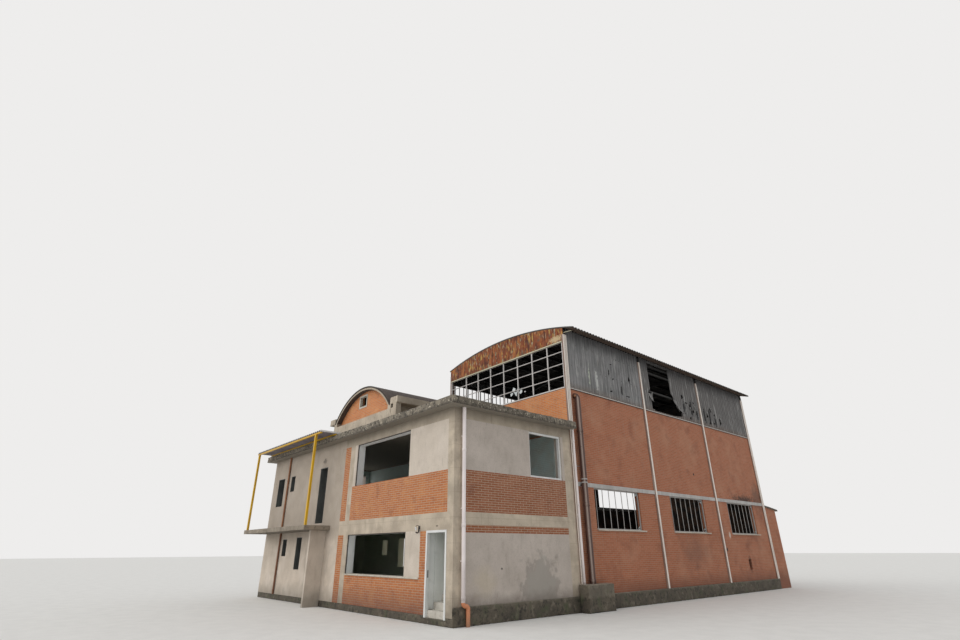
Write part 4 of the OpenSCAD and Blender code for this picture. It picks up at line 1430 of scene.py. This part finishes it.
@dataclass
class HallWindows:
    """Steel bars in the hall's windows and in the long high window on the far side."""

    bars: int = 7
    pitch: float = 0.382
    first: float = 0.16
    bar_r: float = 0.013
    angle: float = 0.035
    depth: float = 0.02
    sill: float = 2.41
    head: float = 3.76
    ribbon: Span = (7.225, 8.92)
    ribbon_pitch: float = 0.27
    ribbon_rim: float = 0.05
    chance: random.Random = field(default_factory=lambda: random.Random(11))

    def add_window(self, bm: Mesh, x: float, span: Span) -> None:
        """Adds one window's steel edge frame and bars, some a little out of true.

        Args:
            bm: The mesh that they go into.
            x: The middle of the frame.
            span: Where the window begins and ends, in y.
        """
        start, end = span
        low, high = (x - self.depth, start, self.sill), (x + self.depth, end, self.head)
        add_frame(bm, low, high, (self.angle, self.angle, self.angle))
        for k in range(self.bars):
            y = start + self.first + k * self.pitch
            lean = self.chance.uniform(-0.012, 0.012)
            bow = self.chance.uniform(-0.01, 0.01)
            middle = (x + 0.5 * bow, y + bow, (self.sill + self.head) / 2)
            add_rod(bm, (x, y, self.sill + 0.01), middle, self.bar_r, 6)
            add_rod(bm, middle, (x, y + lean, self.head - 0.01), self.bar_r, 6)

    def add_glass(self, bm: Mesh, x: float, span: Span) -> None:
        """Adds the bits of glass left in the corners of one window.

        Args:
            bm: The mesh that they go into.
            x: Where they stand.
            span: Where the window begins and ends, in y.
        """
        for middle, height in ((span[0] + 0.07, 3.69), (span[1] - 0.08, 3.68), (span[1] - 0.06, 2.5)):
            for _ in range(3):
                y = middle + self.chance.uniform(-0.04, 0.04)
                z = height + self.chance.uniform(-0.05, 0.05)
                add_shard(bm, (x, y, z), (1, 0, 0), 0.07, 0.004, self.chance)

    def add_ribbon(self, bm: Mesh, x: float, span: Span) -> None:
        """Adds the rails and the uprights of one bay of the long high window.

        Args:
            bm: The mesh that they go into.
            x: Their middle.
            span: Where the bay begins and ends, in y.
        """
        start, end = span
        low, high = self.ribbon
        rail, bar = 0.03, 0.02
        add_block(bm, (x - rail, start, low), (x + rail, end, low + self.ribbon_rim), 0.003)
        add_block(bm, (x - rail, start, high - self.ribbon_rim), (x + rail, end, high), 0.003)
        count = round((end - start) / self.ribbon_pitch)
        for k in range(count + 1):
            y = start + bar + (end - start - 2 * bar) * k / count
            half = (0.022 if k % 3 else 0.035) / 2
            add_block(bm, (x - bar, y - half, low + 0.04), (x + bar, y + half, high - 0.04))

    def build(self) -> list[Piece]:
        """Builds the bars of both long walls, the far ribbon and the bits of glass.

        Returns:
            The new pieces.
        """
        near, far, glass, ribbon = (bmesh.new() for _ in range(4))
        near_x, far_x = Site.x(0.07), Site.x(Site.hall_w - 0.07)
        for i in range(Site.bays):
            self.add_window(near, near_x, Site.window(i))
            if i < Site.bays - 1:
                self.add_window(far, far_x, Site.window(i))
            self.add_glass(glass, near_x - 0.02, Site.window(i))
            self.add_ribbon(ribbon, Site.x(Site.hall_w - 0.05), Site.bay_span(i))
        return [
            finish_piece("near_window_bars", near, GREY_STEEL),
            finish_piece("far_window_bars", far, GREY_STEEL),
            finish_piece("near_window_glass", glass, DUSTY_GLASS),
            finish_piece("far_ribbon_bars", ribbon, DARK_METAL),
        ]


@dataclass
class SteelPosts:
    """Posts of the hall: a broad box section with a proud rib, three on a corner post.

    Measured from the wall's outer face, the section reaches back inwards and mid
    outwards, and its ribs stand out as far as proud.
    """

    back: float = 0.03
    mid: float = 0.03
    proud: float = 0.06
    rib_w: float = 0.085
    edge_rib_w: float = 0.045
    foot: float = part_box("hall_posts")[0][2]
    head: float = 9.3
    edge: float = 0.004

    def add_post(self, bm: Mesh, i: int, wall_x: float, out: int) -> None:
        """Adds one post.

        Args:
            bm: The mesh that it goes into.
            i: Its post line, counted from the front.
            wall_x: The wall's outer face.
            out: The sign of x away from the hall.
        """
        centre, half = Site.y(Site.post_line(i)), Site.post_w / 2
        inner, face, tip = (wall_x + out * d for d in (-self.back, self.mid, self.proud))
        xs = sorted((inner, face))
        add_block(bm, (xs[0], centre - half, self.foot), (xs[1], centre + half, self.head), self.edge)
        corner = i in (0, Site.bays)
        wide = self.edge_rib_w if corner else self.rib_w
        xs = sorted((face - out * 0.002, tip))
        for off in (-half + wide / 2, 0.0, half - wide / 2) if corner else (0.0,):
            y0, y1 = centre + off - wide / 2, centre + off + wide / 2
            add_block(bm, (xs[0], y0, self.foot), (xs[1], y1, self.head), self.edge)

    def build(self) -> list[Piece]:
        """Builds the posts of both long walls.

        Returns:
            The new piece.
        """
        bm = bmesh.new()
        for i in range(Site.bays + 1):
            self.add_post(bm, i, Site.x(0.0), 1)
            self.add_post(bm, i, Site.x(Site.hall_w), -1)
        posts = finish_piece("hall_posts_ribbed", bm, POST_STEEL)
        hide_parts("hall_posts")
        return [posts]


@dataclass
class GableBars:
    """The window grid of the front gable, as thin T bars with a stop behind each."""

    rim: float = 0.04
    foot: float = 0.025
    upright_w: float = 0.046
    level_w: float = 0.03
    stop_half: float = 0.004
    uprights: int = 7
    first: float = 0.812
    pitch: float = 0.822
    top_level: float = 8.62
    level_pitch: float = 0.48
    levels: int = 3

    def build(self) -> list[Piece]:
        """Builds the frame, the uprights and the level bars.

        Returns:
            The new piece.
        """
        low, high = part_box("gable_grid")
        (x0, front, z0), (x1, back, z1) = low, high
        bm = bmesh.new()
        add_frame(bm, tuple(low), tuple(high), (self.rim, self.foot, self.rim), 0.003)
        for k in range(self.uprights):
            x = Site.x(self.first + k * self.pitch)
            for half, y0, y1, edge in (
                (self.upright_w / 2, front, front + 0.008, 0.002),
                (self.stop_half, front + 0.006, back, 0.001),
            ):
                add_block(bm, (x - half, y0, z0 + 0.01), (x + half, y1, z1 - 0.01), edge)
        for k in range(self.levels):
            z = self.top_level - k * self.level_pitch
            for half, y0, y1, edge in (
                (self.level_w / 2, front + 0.002, front + 0.01, 0.002),
                (self.stop_half, front + 0.006, back, 0.001),
            ):
                add_block(bm, (x0 + 0.01, y0, z - half), (x1 - 0.01, y1, z + half), edge)
        bars = finish_piece("gable_window_bars", bm, BAR_STEEL)
        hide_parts("gable_grid")
        return [bars]


@dataclass
class GableDressing:
    """Trim round the rusted gable sheet, its laps, and the panes left in the grid."""

    face: float = HALL_LOW
    foot: float = 9.02
    left: float = Site.x(Site.hall_w - Site.post_in)
    right: float = Site.x(Site.post_in)
    roof_r: float = 13.535
    axis: Span = (Site.x(3.43), -3.52)
    lap: float = 0.95
    lap_half: float = 0.025
    chance: random.Random = field(default_factory=lambda: random.Random(5))

    def top(self, x: float) -> float:
        """Gives the height of the sheet's curved edge at x."""
        return self.axis[1] + math.sqrt(self.roof_r**2 - (x - self.axis[0]) ** 2)

    def add_laps(self, bm: Mesh) -> None:
        """Adds a strip and a row of rivets at each lap between two sheets.

        Args:
            bm: The mesh that they go into.
        """
        proud = 0.006
        for k in range(1, 8):
            x = self.left + k * self.lap + self.chance.uniform(-0.03, 0.03)
            top = min(self.top(x - 0.03), self.top(x + 0.03)) - 0.03
            if x >= self.right - 0.1:
                continue
            low = (x - self.lap_half, self.face - proud, self.foot + 0.05)
            add_block(bm, low, (x + self.lap_half, self.face + proud, top))
            for j in range(4):
                z = self.foot + 0.12 + (top - self.foot - 0.2) * j / 3
                place = Matrix.Translation((x, self.face - proud, z))
                bmesh.ops.create_icosphere(bm, subdivisions=1, radius=0.012, matrix=place)

    def build(self) -> list[Piece]:
        """Builds the trim, the laps and the panes.

        Returns:
            The new pieces.
        """
        trim, laps, panes = bmesh.new(), bmesh.new(), bmesh.new()
        low = (self.left, self.face - 0.022, self.foot - 0.032)
        add_block(trim, low, (self.right, self.face + 0.004, self.foot + 0.02), 0.003)
        behind = self.face + 0.05
        add_rod(trim, (self.right, behind, 9.375), (Site.x(-0.42), behind, 9.335), 0.013)
        self.add_laps(laps)
        for along, z, size in (
            (2.3, 7.56, 0.15),
            (2.45, 7.66, 0.2),
            (2.62, 7.54, 0.17),
            (2.74, 7.7, 0.13),
            (2.84, 7.56, 0.1),
        ):
            add_shard(panes, (Site.x(along), self.face + 0.03, z), (0, 1, 0), size, 0.005, self.chance)
        return [
            finish_piece("gable_trim", trim, CREAM_PAINT),
            finish_piece("gable_sheet_laps", laps, RUSTY_SHEET),
            finish_piece("gable_panes", panes, DUSTY_GLASS),
        ]


@dataclass
class TornCladding:
    """Bent flaps round the holes in the cladding, and the bolts that hold the sheets.

    hole is the part of the second bay whose sheet and bolts are gone, from its start.
    """

    x: float = Site.x(-0.03)
    sheet_t: float = 0.003
    bolt_r: float = 0.008
    washer_r: float = 0.016
    bolt_rows: tuple[float, ...] = (7.3, 8.13, 9.0)
    hole: Span = (0.4, 3.2)

    def add_flap(self, bm: Mesh, y: float, z: float, wide: float, tall: float, curl: float) -> None:
        """Adds a tongue of sheet that curls out of the wall.

        Args:
            bm: The mesh that it goes into.
            y: Where its root is, along the wall.
            z: Height of its root.
            wide: Width at the root, negative towards the front.
            tall: Its length, negative downwards.
            curl: How far its tip stands out.
        """
        made = bmesh.ops.create_grid(bm, x_segments=3, y_segments=5, size=0.5)
        for vert in made["verts"]:
            u, v = vert.co.x + 0.5, vert.co.y + 0.5
            narrow = 1 - 0.8 * v + 0.12 * math.sin(7 * v + z)
            out = self.x + curl * v * v + 0.01
            vert.co = Vector((out, y + wide * (u - 0.5) * narrow, z + tall * v * (1 - 0.25 * v)))
        bmesh.ops.solidify(bm, geom=faces_of(made["verts"]), thickness=self.sheet_t)

    def add_bolts(self, bm: Mesh, i: int) -> None:
        """Adds the bolts of one bay, each with its washer, in every other trough.

        Args:
            bm: The mesh that they go into.
            i: The bay, counted from the front.
        """
        first, last = Site.bay_span(i)
        for k in range(1, 28, 2):
            y = first + Site.wave * k + 0.016
            for z in self.bolt_rows:
                torn = i == 1 and self.hole[0] < y - first < self.hole[1]
                if y < last - 0.03 and not torn:
                    add_rod(bm, (self.x - 0.004, y, z), (self.x + 0.005, y, z), self.washer_r, 6)
                    add_rod(bm, (self.x + 0.004, y, z), (self.x + 0.014, y, z), self.bolt_r, 6)

    def build(self) -> list[Piece]:
        """Builds the flaps and the bolts.

        Returns:
            The new pieces.
        """
        flaps, bolts = bmesh.new(), bmesh.new()
        for i, y, z, wide, tall, curl in (
            (1, 0.52, 8.0, 0.28, -0.5, 0.12),
            (1, 0.6, 7.75, 0.2, 0.42, 0.08),
            (1, 2.6, 8.05, 0.3, -0.45, 0.14),
            (1, 2.85, 7.85, 0.25, -0.4, 0.1),
            (1, 3.05, 7.72, 0.22, -0.35, 0.16),
            (1, 2.4, 8.4, 0.16, -0.4, 0.07),
            (1, 3.2, 7.4, 0.2, 0.3, 0.1),
            (1, 3.9, 7.95, 0.14, -0.25, 0.08),
            (1, 4.35, 8.1, 0.12, -0.22, 0.06),
            (2, 0.6, 8.0, 0.15, -0.3, 0.07),
            (2, 1.05, 8.25, 0.14, -0.25, 0.06),
            (2, 1.95, 7.85, 0.16, -0.3, 0.08),
        ):
            self.add_flap(flaps, Site.bay_span(i)[0] + y, z, wide, tall, curl)
        for i in range(Site.bays):
            self.add_bolts(bolts, i)
        return [
            finish_piece("cladding_flaps", flaps, CLADDING),
            finish_piece("cladding_bolts", bolts, DARK_METAL),
        ]


@dataclass
class PipeFittings:
    """Sockets and straps on the downpipes and on the large pipe.

    wall is how far a socket stands out from its pipe, fit how far it sinks into it.
    """

    wall: float = 0.008
    fit: float = 0.002

    def add_collar(self, bm: Mesh, foot: Point, radius: float, tall: float) -> None:
        """Adds a socket round an upright pipe.

        Args:
            bm: The mesh that it goes into.
            foot: The middle of its foot.
            radius: The pipe's radius.
            tall: Its height.
        """
        out, bore = radius + self.wall, radius - self.fit
        profile = ((bore, 0), (out, 0.004), (out, tall - 0.01), (out - 0.003, tall), (bore, tall))
        add_turned(bm, profile, foot)

    def build(self) -> list[Piece]:
        """Builds the fittings of every pipe.

        Returns:
            The new pieces.
        """
        white, brown, wing, straps, stub = (bmesh.new() for _ in range(5))
        for bm, along, deep, heights, radius, tall in (
            (white, -0.105, 0.275, (0.6, 2.35, 4.35), 0.055, 0.09),
            (white, -0.1075, 5.19, (0.8, 3.1, 5.2), 0.0375, 0.08),
            (wing, 11.8, -0.0475, (0.3, 2.35, 4.6), 0.0375, 0.08),
            (brown, -0.14, 5.575, (0.8, 3.1, 5.6), 0.1, 0.12),
            (straps, -0.14, 5.575, (3.86, 3.97), 0.102, 0.035),
            (stub, -0.14, 5.44, (6.87,), 0.035, 0.07),
        ):
            for z in heights:
                self.add_collar(bm, (Site.x(along), Site.y(deep), z), radius, tall)
        x, z = Site.x(-0.04), 4.42
        add_rod(straps, (x, Site.y(5.2), z), (x, Site.y(5.52), z), 0.012)
        return [
            finish_piece("white_pipe_sockets", white, WHITE_PLASTIC, True),
            finish_piece("brown_pipe_sockets", brown, BROWN_PAINT, True),
            finish_piece("wing_pipe_sockets", wing, RED_LEAD, True),
            finish_piece("large_pipe_straps", straps, GREY_STEEL, True),
            finish_piece("large_pipe_stub", stub, RED_LEAD, True),
        ]


@dataclass
class BracketLamp:
    """A swan-neck lamp on the floor beam beside the doorway."""

    x: float = Site.x(1.57)
    y: float = Site.y(0.0)
    z: float = 2.39
    drop: float = 0.1
    reach: float = 0.05
    arm_r: float = 0.019

    def add_bend(self, bm: Mesh, start: Point, radius: float, angle: float) -> None:
        """Adds a bent round arm that sets out up or down from a point.

        Args:
            bm: The mesh that it goes into.
            start: Where the arm's middle starts.
            radius: The arm's own radius.
            angle: How far it turns about x, in degrees.
        """
        place = Matrix.Translation(start)
        ring = bmesh.ops.create_circle(bm, cap_ends=True, segments=10, radius=radius, matrix=place)["verts"]
        geom = ring + edges_of(ring) + faces_of(ring)
        centre = (start[0], start[1] - self.reach, start[2])
        bmesh.ops.spin(bm, geom=geom, cent=centre, axis=(1, 0, 0), angle=math.radians(angle), steps=14)

    def build(self) -> list[Piece]:
        """Builds the plate, the bent arms, the holder and the bulb.

        Returns:
            The new pieces.
        """
        x, y, z = self.x, self.y, self.z
        body, bulb = bmesh.new(), bmesh.new()
        add_block(body, (x - 0.035, y - 0.015, z - 0.05), (x + 0.035, y, z + 0.04), 0.005)
        out = y - 0.03
        add_rod(body, (x, out, z + 0.01), (x, out, z - self.drop), self.arm_r, 10)
        self.add_bend(body, (x, out, z - self.drop), self.arm_r, -150)
        self.add_bend(body, (x, out, z), 0.008, 200)
        glass = ((0.0, 0.075), (0.016, 0.072), (0.03, 0.055), (0.033, 0.038), (0.024, 0.015), (0.016, 0.0))
        add_turned(bulb, glass, (x, out - 2 * self.reach + 0.01, z - self.drop + 0.01))
        holder = ((0.0, 0.03), (0.02, 0.026), (0.024, 0.005), (0.018, -0.02), (0.0, -0.022))
        add_turned(bulb, holder, (x, out - 2.2 * self.reach, z - 0.02))
        lamp = finish_piece("bracket_lamp", body, DARK_METAL, True)
        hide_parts("wall_lamp")
        return [lamp, finish_piece("lamp_bulb", bulb, WHITE_PAINT, True)]


@dataclass
class Openings:
    """Linings, dark angles and small ironwork of the doorway and the office windows; the wing's linings are
    painted dark as shade.
    """

    board_t: float = 0.02
    angle_w: float = 0.03
    angle_deep: Span = (0.015, 0.04)
    door_left: float = 1.22
    door_right: float = 0.28

    def add_lining(self, bm: Mesh, left: float, right: float, rise: Span, front: float = 0.035) -> None:
        """Adds boards on the reveals and the head of an opening in the entrance front.

        Args:
            bm: The mesh that they go into.
            left: How far left of the near corner the opening ends.
            right: How far left of it the opening begins.
            rise: Heights of its foot and its head.
            front: How far back from the wall's face the boards begin.
        """
        low = (Site.x(left), Site.y(front), rise[0])
        high = (Site.x(right), Site.y(Site.wall_t - 0.005), rise[1])
        add_frame(bm, low, high, (self.board_t, 0.0, self.board_t), 0.003)

    def add_edge(self, bm: Mesh, left: float, right: float, rise: Span) -> None:
        """Adds the thin dark angle left round an opening in the entrance front.

        Args:
            bm: The mesh that it goes into.
            left: How far left of the near corner the opening ends.
            right: How far left of it the opening begins.
            rise: Heights of its foot and its head.
        """
        front, back = self.angle_deep
        low, high = (Site.x(left), Site.y(front), rise[0]), (Site.x(right), Site.y(back), rise[1])
        add_frame(bm, low, high, (self.angle_w, 0.0, self.angle_w))

    def add_ironwork(self, bm: Mesh) -> None:
        """Adds the hinges, the strike plate and the lock box of the doorway.

        Args:
            bm: The mesh that they go into.
        """
        x = Site.x(self.door_right + 0.06)
        for z in (0.55, 1.25, 1.95):
            add_rod(bm, (x - 0.004, Site.y(0.02), z - 0.05), (x - 0.004, Site.y(0.02), z + 0.05), 0.012, 10)
            add_block(bm, (x - 0.012, Site.y(0.02), z - 0.04), (x - 0.002, Site.y(0.075), z + 0.04), 0.001)
        x = Site.x(self.door_left - 0.06)
        add_block(bm, (x, Site.y(0.03), 1.1), (x + 0.006, Site.y(0.06), 1.28), 0.001)
        x = Site.x(self.door_right + 0.04)
        add_block(bm, (x - 0.03, Site.y(0.1), 1.82), (x + 0.02, Site.y(0.17), 1.89), 0.006)

    def build(self) -> list[Piece]:
        """Builds the linings, the dark angles and the doorway's ironwork.

        Returns:
            The new pieces.
        """
        pale, dark, slate, iron = (bmesh.new() for _ in range(4))
        for left, right, rise in ((5.89, 2.29, (1.09, 2.29)), (5.7, 2.27, (3.88, 5.33))):
            self.add_lining(pale, left, right, rise)
            self.add_edge(dark, left, right, rise)
        self.add_lining(pale, self.door_left, self.door_right, (0.33, 2.29), 0.095)
        # The wing's door and windows get slate boards, painted dark as the shade in their openings
        for right, wide, rise in (
            (8.02, 0.65, (2.75, 4.81)),
            (9.68, 0.5, (1.13, 2.29)),
            (11.15, 0.42, (1.6, 2.24)),
            (11.15, 0.42, (4.14, 4.78)),
            (12.3, 0.7, (3.6, 4.78)),
        ):
            self.add_lining(slate, right + wide, right, rise, 0.004)
        self.add_ironwork(iron)
        return [
            finish_piece("window_linings", pale, WHITE_WALL),
            finish_piece("wing_shade_linings", slate, SHADE_SLATE_PAINT),
            finish_piece("window_angles", dark, DARK_METAL),
            finish_piece("door_ironwork", iron, DARK_METAL),
        ]


@dataclass
class RoofDetails:
    """Hook bolts and verge strip of the hall roof, the vault's felt, the canopy's edge.

    crown and radius give the arc of the hall roof, vault_r that of the roof house, and
    the two eaves are how far the hall roof reaches past its walls.
    """

    crown: float = 10.08
    radius: float = 13.6
    purlins: int = 9
    waves: int = 85
    eave_near: float = 0.5
    eave_far: float = 0.11
    vault_r: float = 2.55

    def add_hooks(self, bm: Mesh) -> None:
        """Adds a hook bolt's washer in every other wave over each purlin.

        Args:
            bm: The mesh that they go into.
        """
        middle = Site.hall_w / 2
        half = math.asin((middle - 0.08) / (self.radius - 0.145))
        for k in range(self.purlins):
            a = half * (2 * k / (self.purlins - 1) - 1)
            out = Vector((math.sin(a), 0, math.cos(a)))
            for j in range(0, self.waves, 2):
                y = HALL_LOW + Site.wave * j + 0.105
                foot = Vector((Site.x(middle), y, self.crown - self.radius)) + out * (self.radius - 0.012)
                add_rod(bm, foot, foot + out * 0.009, 0.016, 6)

    def add_verge(self, bm: Mesh) -> None:
        """Adds the strip along the front edge of the hall roof.

        Args:
            bm: The mesh that it goes into.
        """
        middle = Site.hall_w / 2
        axis_x, axis_z = Site.x(middle), self.crown - self.radius
        start = math.asin((middle + self.eave_far) / self.radius)
        turn = start + math.asin((middle + self.eave_near) / self.radius)
        r = self.radius - 0.05
        place = Vector((axis_x - r * math.sin(start), HALL_LOW + 0.001, axis_z + r * math.cos(start)))
        upright = Matrix.Rotation(math.radians(90), 4, "Y")
        tilt = Matrix.Rotation(-start, 4, "Y") @ Matrix.Diagonal((1.0, 0.012, 0.05, 1.0)) @ upright
        matrix = Matrix.Translation(place) @ tilt
        ring = bmesh.ops.create_grid(bm, x_segments=1, y_segments=1, size=0.5, matrix=matrix)["verts"]
        geom = ring + edges_of(ring) + faces_of(ring)
        bmesh.ops.spin(bm, geom=geom, cent=(axis_x, HALL_LOW, axis_z), axis=(0, 1, 0), angle=turn, steps=60)

    def add_felt(self, bm: Mesh) -> None:
        """Adds the turned-down felt at both ends of the roof house's vault.

        Args:
            bm: The mesh that it goes into.
        """
        low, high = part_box("roof_house_vault")
        start = math.asin(min(1.0, (high[0] - low[0]) / 2 / self.vault_r))
        tilt = Matrix.Rotation(-start, 3, "Y")
        top, thick = self.vault_r + 0.001, 0.008
        ring = ((top - 0.051, -thick), (top, -thick), (top, thick), (top - 0.051, thick))
        for y in (low[1] - 0.006, high[1] + 0.006):
            centre = Vector(((low[0] + high[0]) / 2, y, high[2] - self.vault_r))
            verts = [bm.verts.new(centre + tilt @ Vector((0.0, d, r))) for r, d in ring]
            face = bm.faces.new(verts)
            geom = verts + list(face.edges) + [face]
            bmesh.ops.spin(bm, geom=geom, cent=centre, axis=(0, 1, 0), angle=2 * start, steps=40)

    def add_canopy(self, bm: Mesh) -> None:
        """Adds the canopy's edge strip and the heads of its screws.

        Args:
            bm: The mesh that they go into.
        """
        low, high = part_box("canopy_sheet")
        right, top = high[0], high[2]
        add_block(bm, (right - 0.006, low[1], low[2] - 0.004), (right - 0.001, high[1], top), 0.001)
        for k in range(1, 34, 3):
            x = Site.x(7.104 + Site.wave * k)
            for y in (low[1] + 0.06, Site.y(-0.29)):
                if x > low[0] + 0.05:
                    add_rod(bm, (x, y, top - 0.02), (x, y, top - 0.004), 0.012, 6)

    def build(self) -> list[Piece]:
        """Builds the bolts, the verge and the trims.

        Returns:
            The new pieces.
        """
        bolts, verge, canopy, felt = (bmesh.new() for _ in range(4))
        self.add_hooks(bolts)
        self.add_verge(verge)
        self.add_canopy(canopy)
        self.add_felt(felt)
        return [
            finish_piece("roof_hook_bolts", bolts, DARK_METAL),
            finish_piece("roof_verge", verge, DARK_METAL),
            finish_piece("canopy_trim", canopy, WHITE_PAINT),
            finish_piece("vault_felt_edge", felt, FELT_EDGE),
        ]


@dataclass
class Dressing:
    """Gives every solid that stays in view its finish."""

    finishes: dict[str, Finish] = field(default_factory=lambda: dict(NODE_FINISH))

    def build(self) -> None:
        """Puts the finish on each solid's own material slots."""
        for node, finish in self.finishes.items():
            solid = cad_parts[node]
            material = finish.build()
            if not solid.material_slots:
                solid.data.materials.append(material)
            for slot in solid.material_slots:
                slot.material = material
            log.info("%s: %s", node, finish.name)


# Camera and daylight


@dataclass
class Viewpoint:
    """The place the photograph was taken from, its angles in degrees, and its lens."""

    at: Point = (18.424, -19.557, 1.765)
    yaw: float = 48.983
    pitch: float = 24.108
    roll: float = -0.346
    lens: float = 19.3275
    sensor: float = 36.0
    far: float = 500.0

    def build(self) -> bpy.types.Object:
        """Makes the camera the scene's own.

        Returns:
            The camera.
        """
        yaw, pitch, roll = (math.radians(v) for v in (self.yaw, self.pitch, self.roll))
        level = Vector((-math.sin(yaw), math.cos(yaw), 0.0))
        right = Vector((math.cos(yaw), math.sin(yaw), 0.0))
        up = Vector((0.0, 0.0, 1.0))
        ahead = level * math.cos(pitch) + up * math.sin(pitch)
        above = up * math.cos(pitch) - level * math.sin(pitch)
        across = right * math.cos(roll) + above * math.sin(roll)
        over = above * math.cos(roll) - right * math.sin(roll)
        turn = Matrix((across, over, -ahead)).transposed().to_4x4()
        data = bpy.data.cameras.new("viewpoint")
        data.lens = self.lens
        data.sensor_width = self.sensor
        data.sensor_fit = "HORIZONTAL"
        data.clip_end = self.far
        camera = bpy.data.objects.new("viewpoint", data)
        camera.matrix_world = Matrix.Translation(self.at) @ turn
        bpy.context.scene.collection.objects.link(camera)
        bpy.context.scene.camera = camera
        return camera


@dataclass
class Daylight:
    """An overcast sky, brighter in front of the entrance, and a plain pale floor."""

    sky: str = "#eeedec"
    cool: tuple[float, float, float, float] = (0.96, 0.98, 1.0, 1.0)
    strength: float = 0.72
    sun: float = 1.15
    sun_tint: tuple[float, float, float] = (1.0, 0.985, 0.96)
    sun_spread: float = 70.0
    sun_way: Point = (0.18, 0.75, -0.6)
    floor_size: float = 250.0

    def build_world(self) -> None:
        """Makes the world: plain for lighting, the pale sky for what is seen directly."""
        world = bpy.data.worlds.new("overcast")
        world.use_nodes = True
        tree = world.node_tree
        tree.nodes.clear()
        ray = add(tree, "ShaderNodeLightPath").outputs
        direct = {0: ray["Is Camera Ray"], 1: ray["Is Glossy Ray"]}
        seen = add(tree, "ShaderNodeMath", direct, operation="MAXIMUM")
        seen = add(tree, "ShaderNodeMath", {0: seen, 1: ray["Is Transmission Ray"]}, operation="MAXIMUM")
        light = add(tree, "ShaderNodeBackground", {0: self.cool, 1: self.strength})
        view = add(tree, "ShaderNodeBackground", {0: linear(self.sky), 1: 1.0})
        mix = add(tree, "ShaderNodeMixShader", {0: seen, 1: light, 2: view})
        add(tree, "ShaderNodeOutputWorld", {0: mix})
        bpy.context.scene.world = world

    def build_sun(self) -> None:
        """Adds the soft light from in front of the entrance."""
        data = bpy.data.lights.new("bright_sky", "SUN")
        data.energy = self.sun
        data.angle = math.radians(self.sun_spread)
        data.color = self.sun_tint
        lamp = bpy.data.objects.new("bright_sky", data)
        lamp.rotation_mode = "QUATERNION"
        lamp.rotation_quaternion = Vector(self.sun_way).to_track_quat("-Z", "Y")
        bpy.context.scene.collection.objects.link(lamp)

    def build_floor(self) -> None:
        """Lays the floor that the building stands on."""
        bm = bmesh.new()
        bmesh.ops.create_grid(bm, x_segments=4, y_segments=4, size=self.floor_size)
        mesh = bpy.data.meshes.new("floor")
        bm.to_mesh(mesh)
        bm.free()
        mesh.materials.append(SWEPT_FLOOR.build())
        floor = bpy.data.objects.new("floor", mesh)
        bpy.context.scene.collection.objects.link(floor)

    def build(self) -> None:
        """Makes the sky, the light and the floor, and sets how colours are shown."""
        self.build_world()
        self.build_sun()
        self.build_floor()
        bpy.context.scene.view_settings.view_transform = "Standard"


def main() -> None:
    """Builds the whole scene."""
    logging.basicConfig(level=logging.INFO, format="%(message)s")
    Viewpoint().build()
    Daylight().build()
    Dressing().build()
    for assembly in (
        CrumblingConcrete(),
        HallWindows(),
        SteelPosts(),
        GableBars(),
        GableDressing(),
        TornCladding(),
        PipeFittings(),
        BracketLamp(),
        Openings(),
        RoofDetails(),
    ):
        pieces = assembly.build()
        log.info("%s: %d pieces", type(assembly).__name__, len(pieces))


if __name__ == "__main__":
    main()
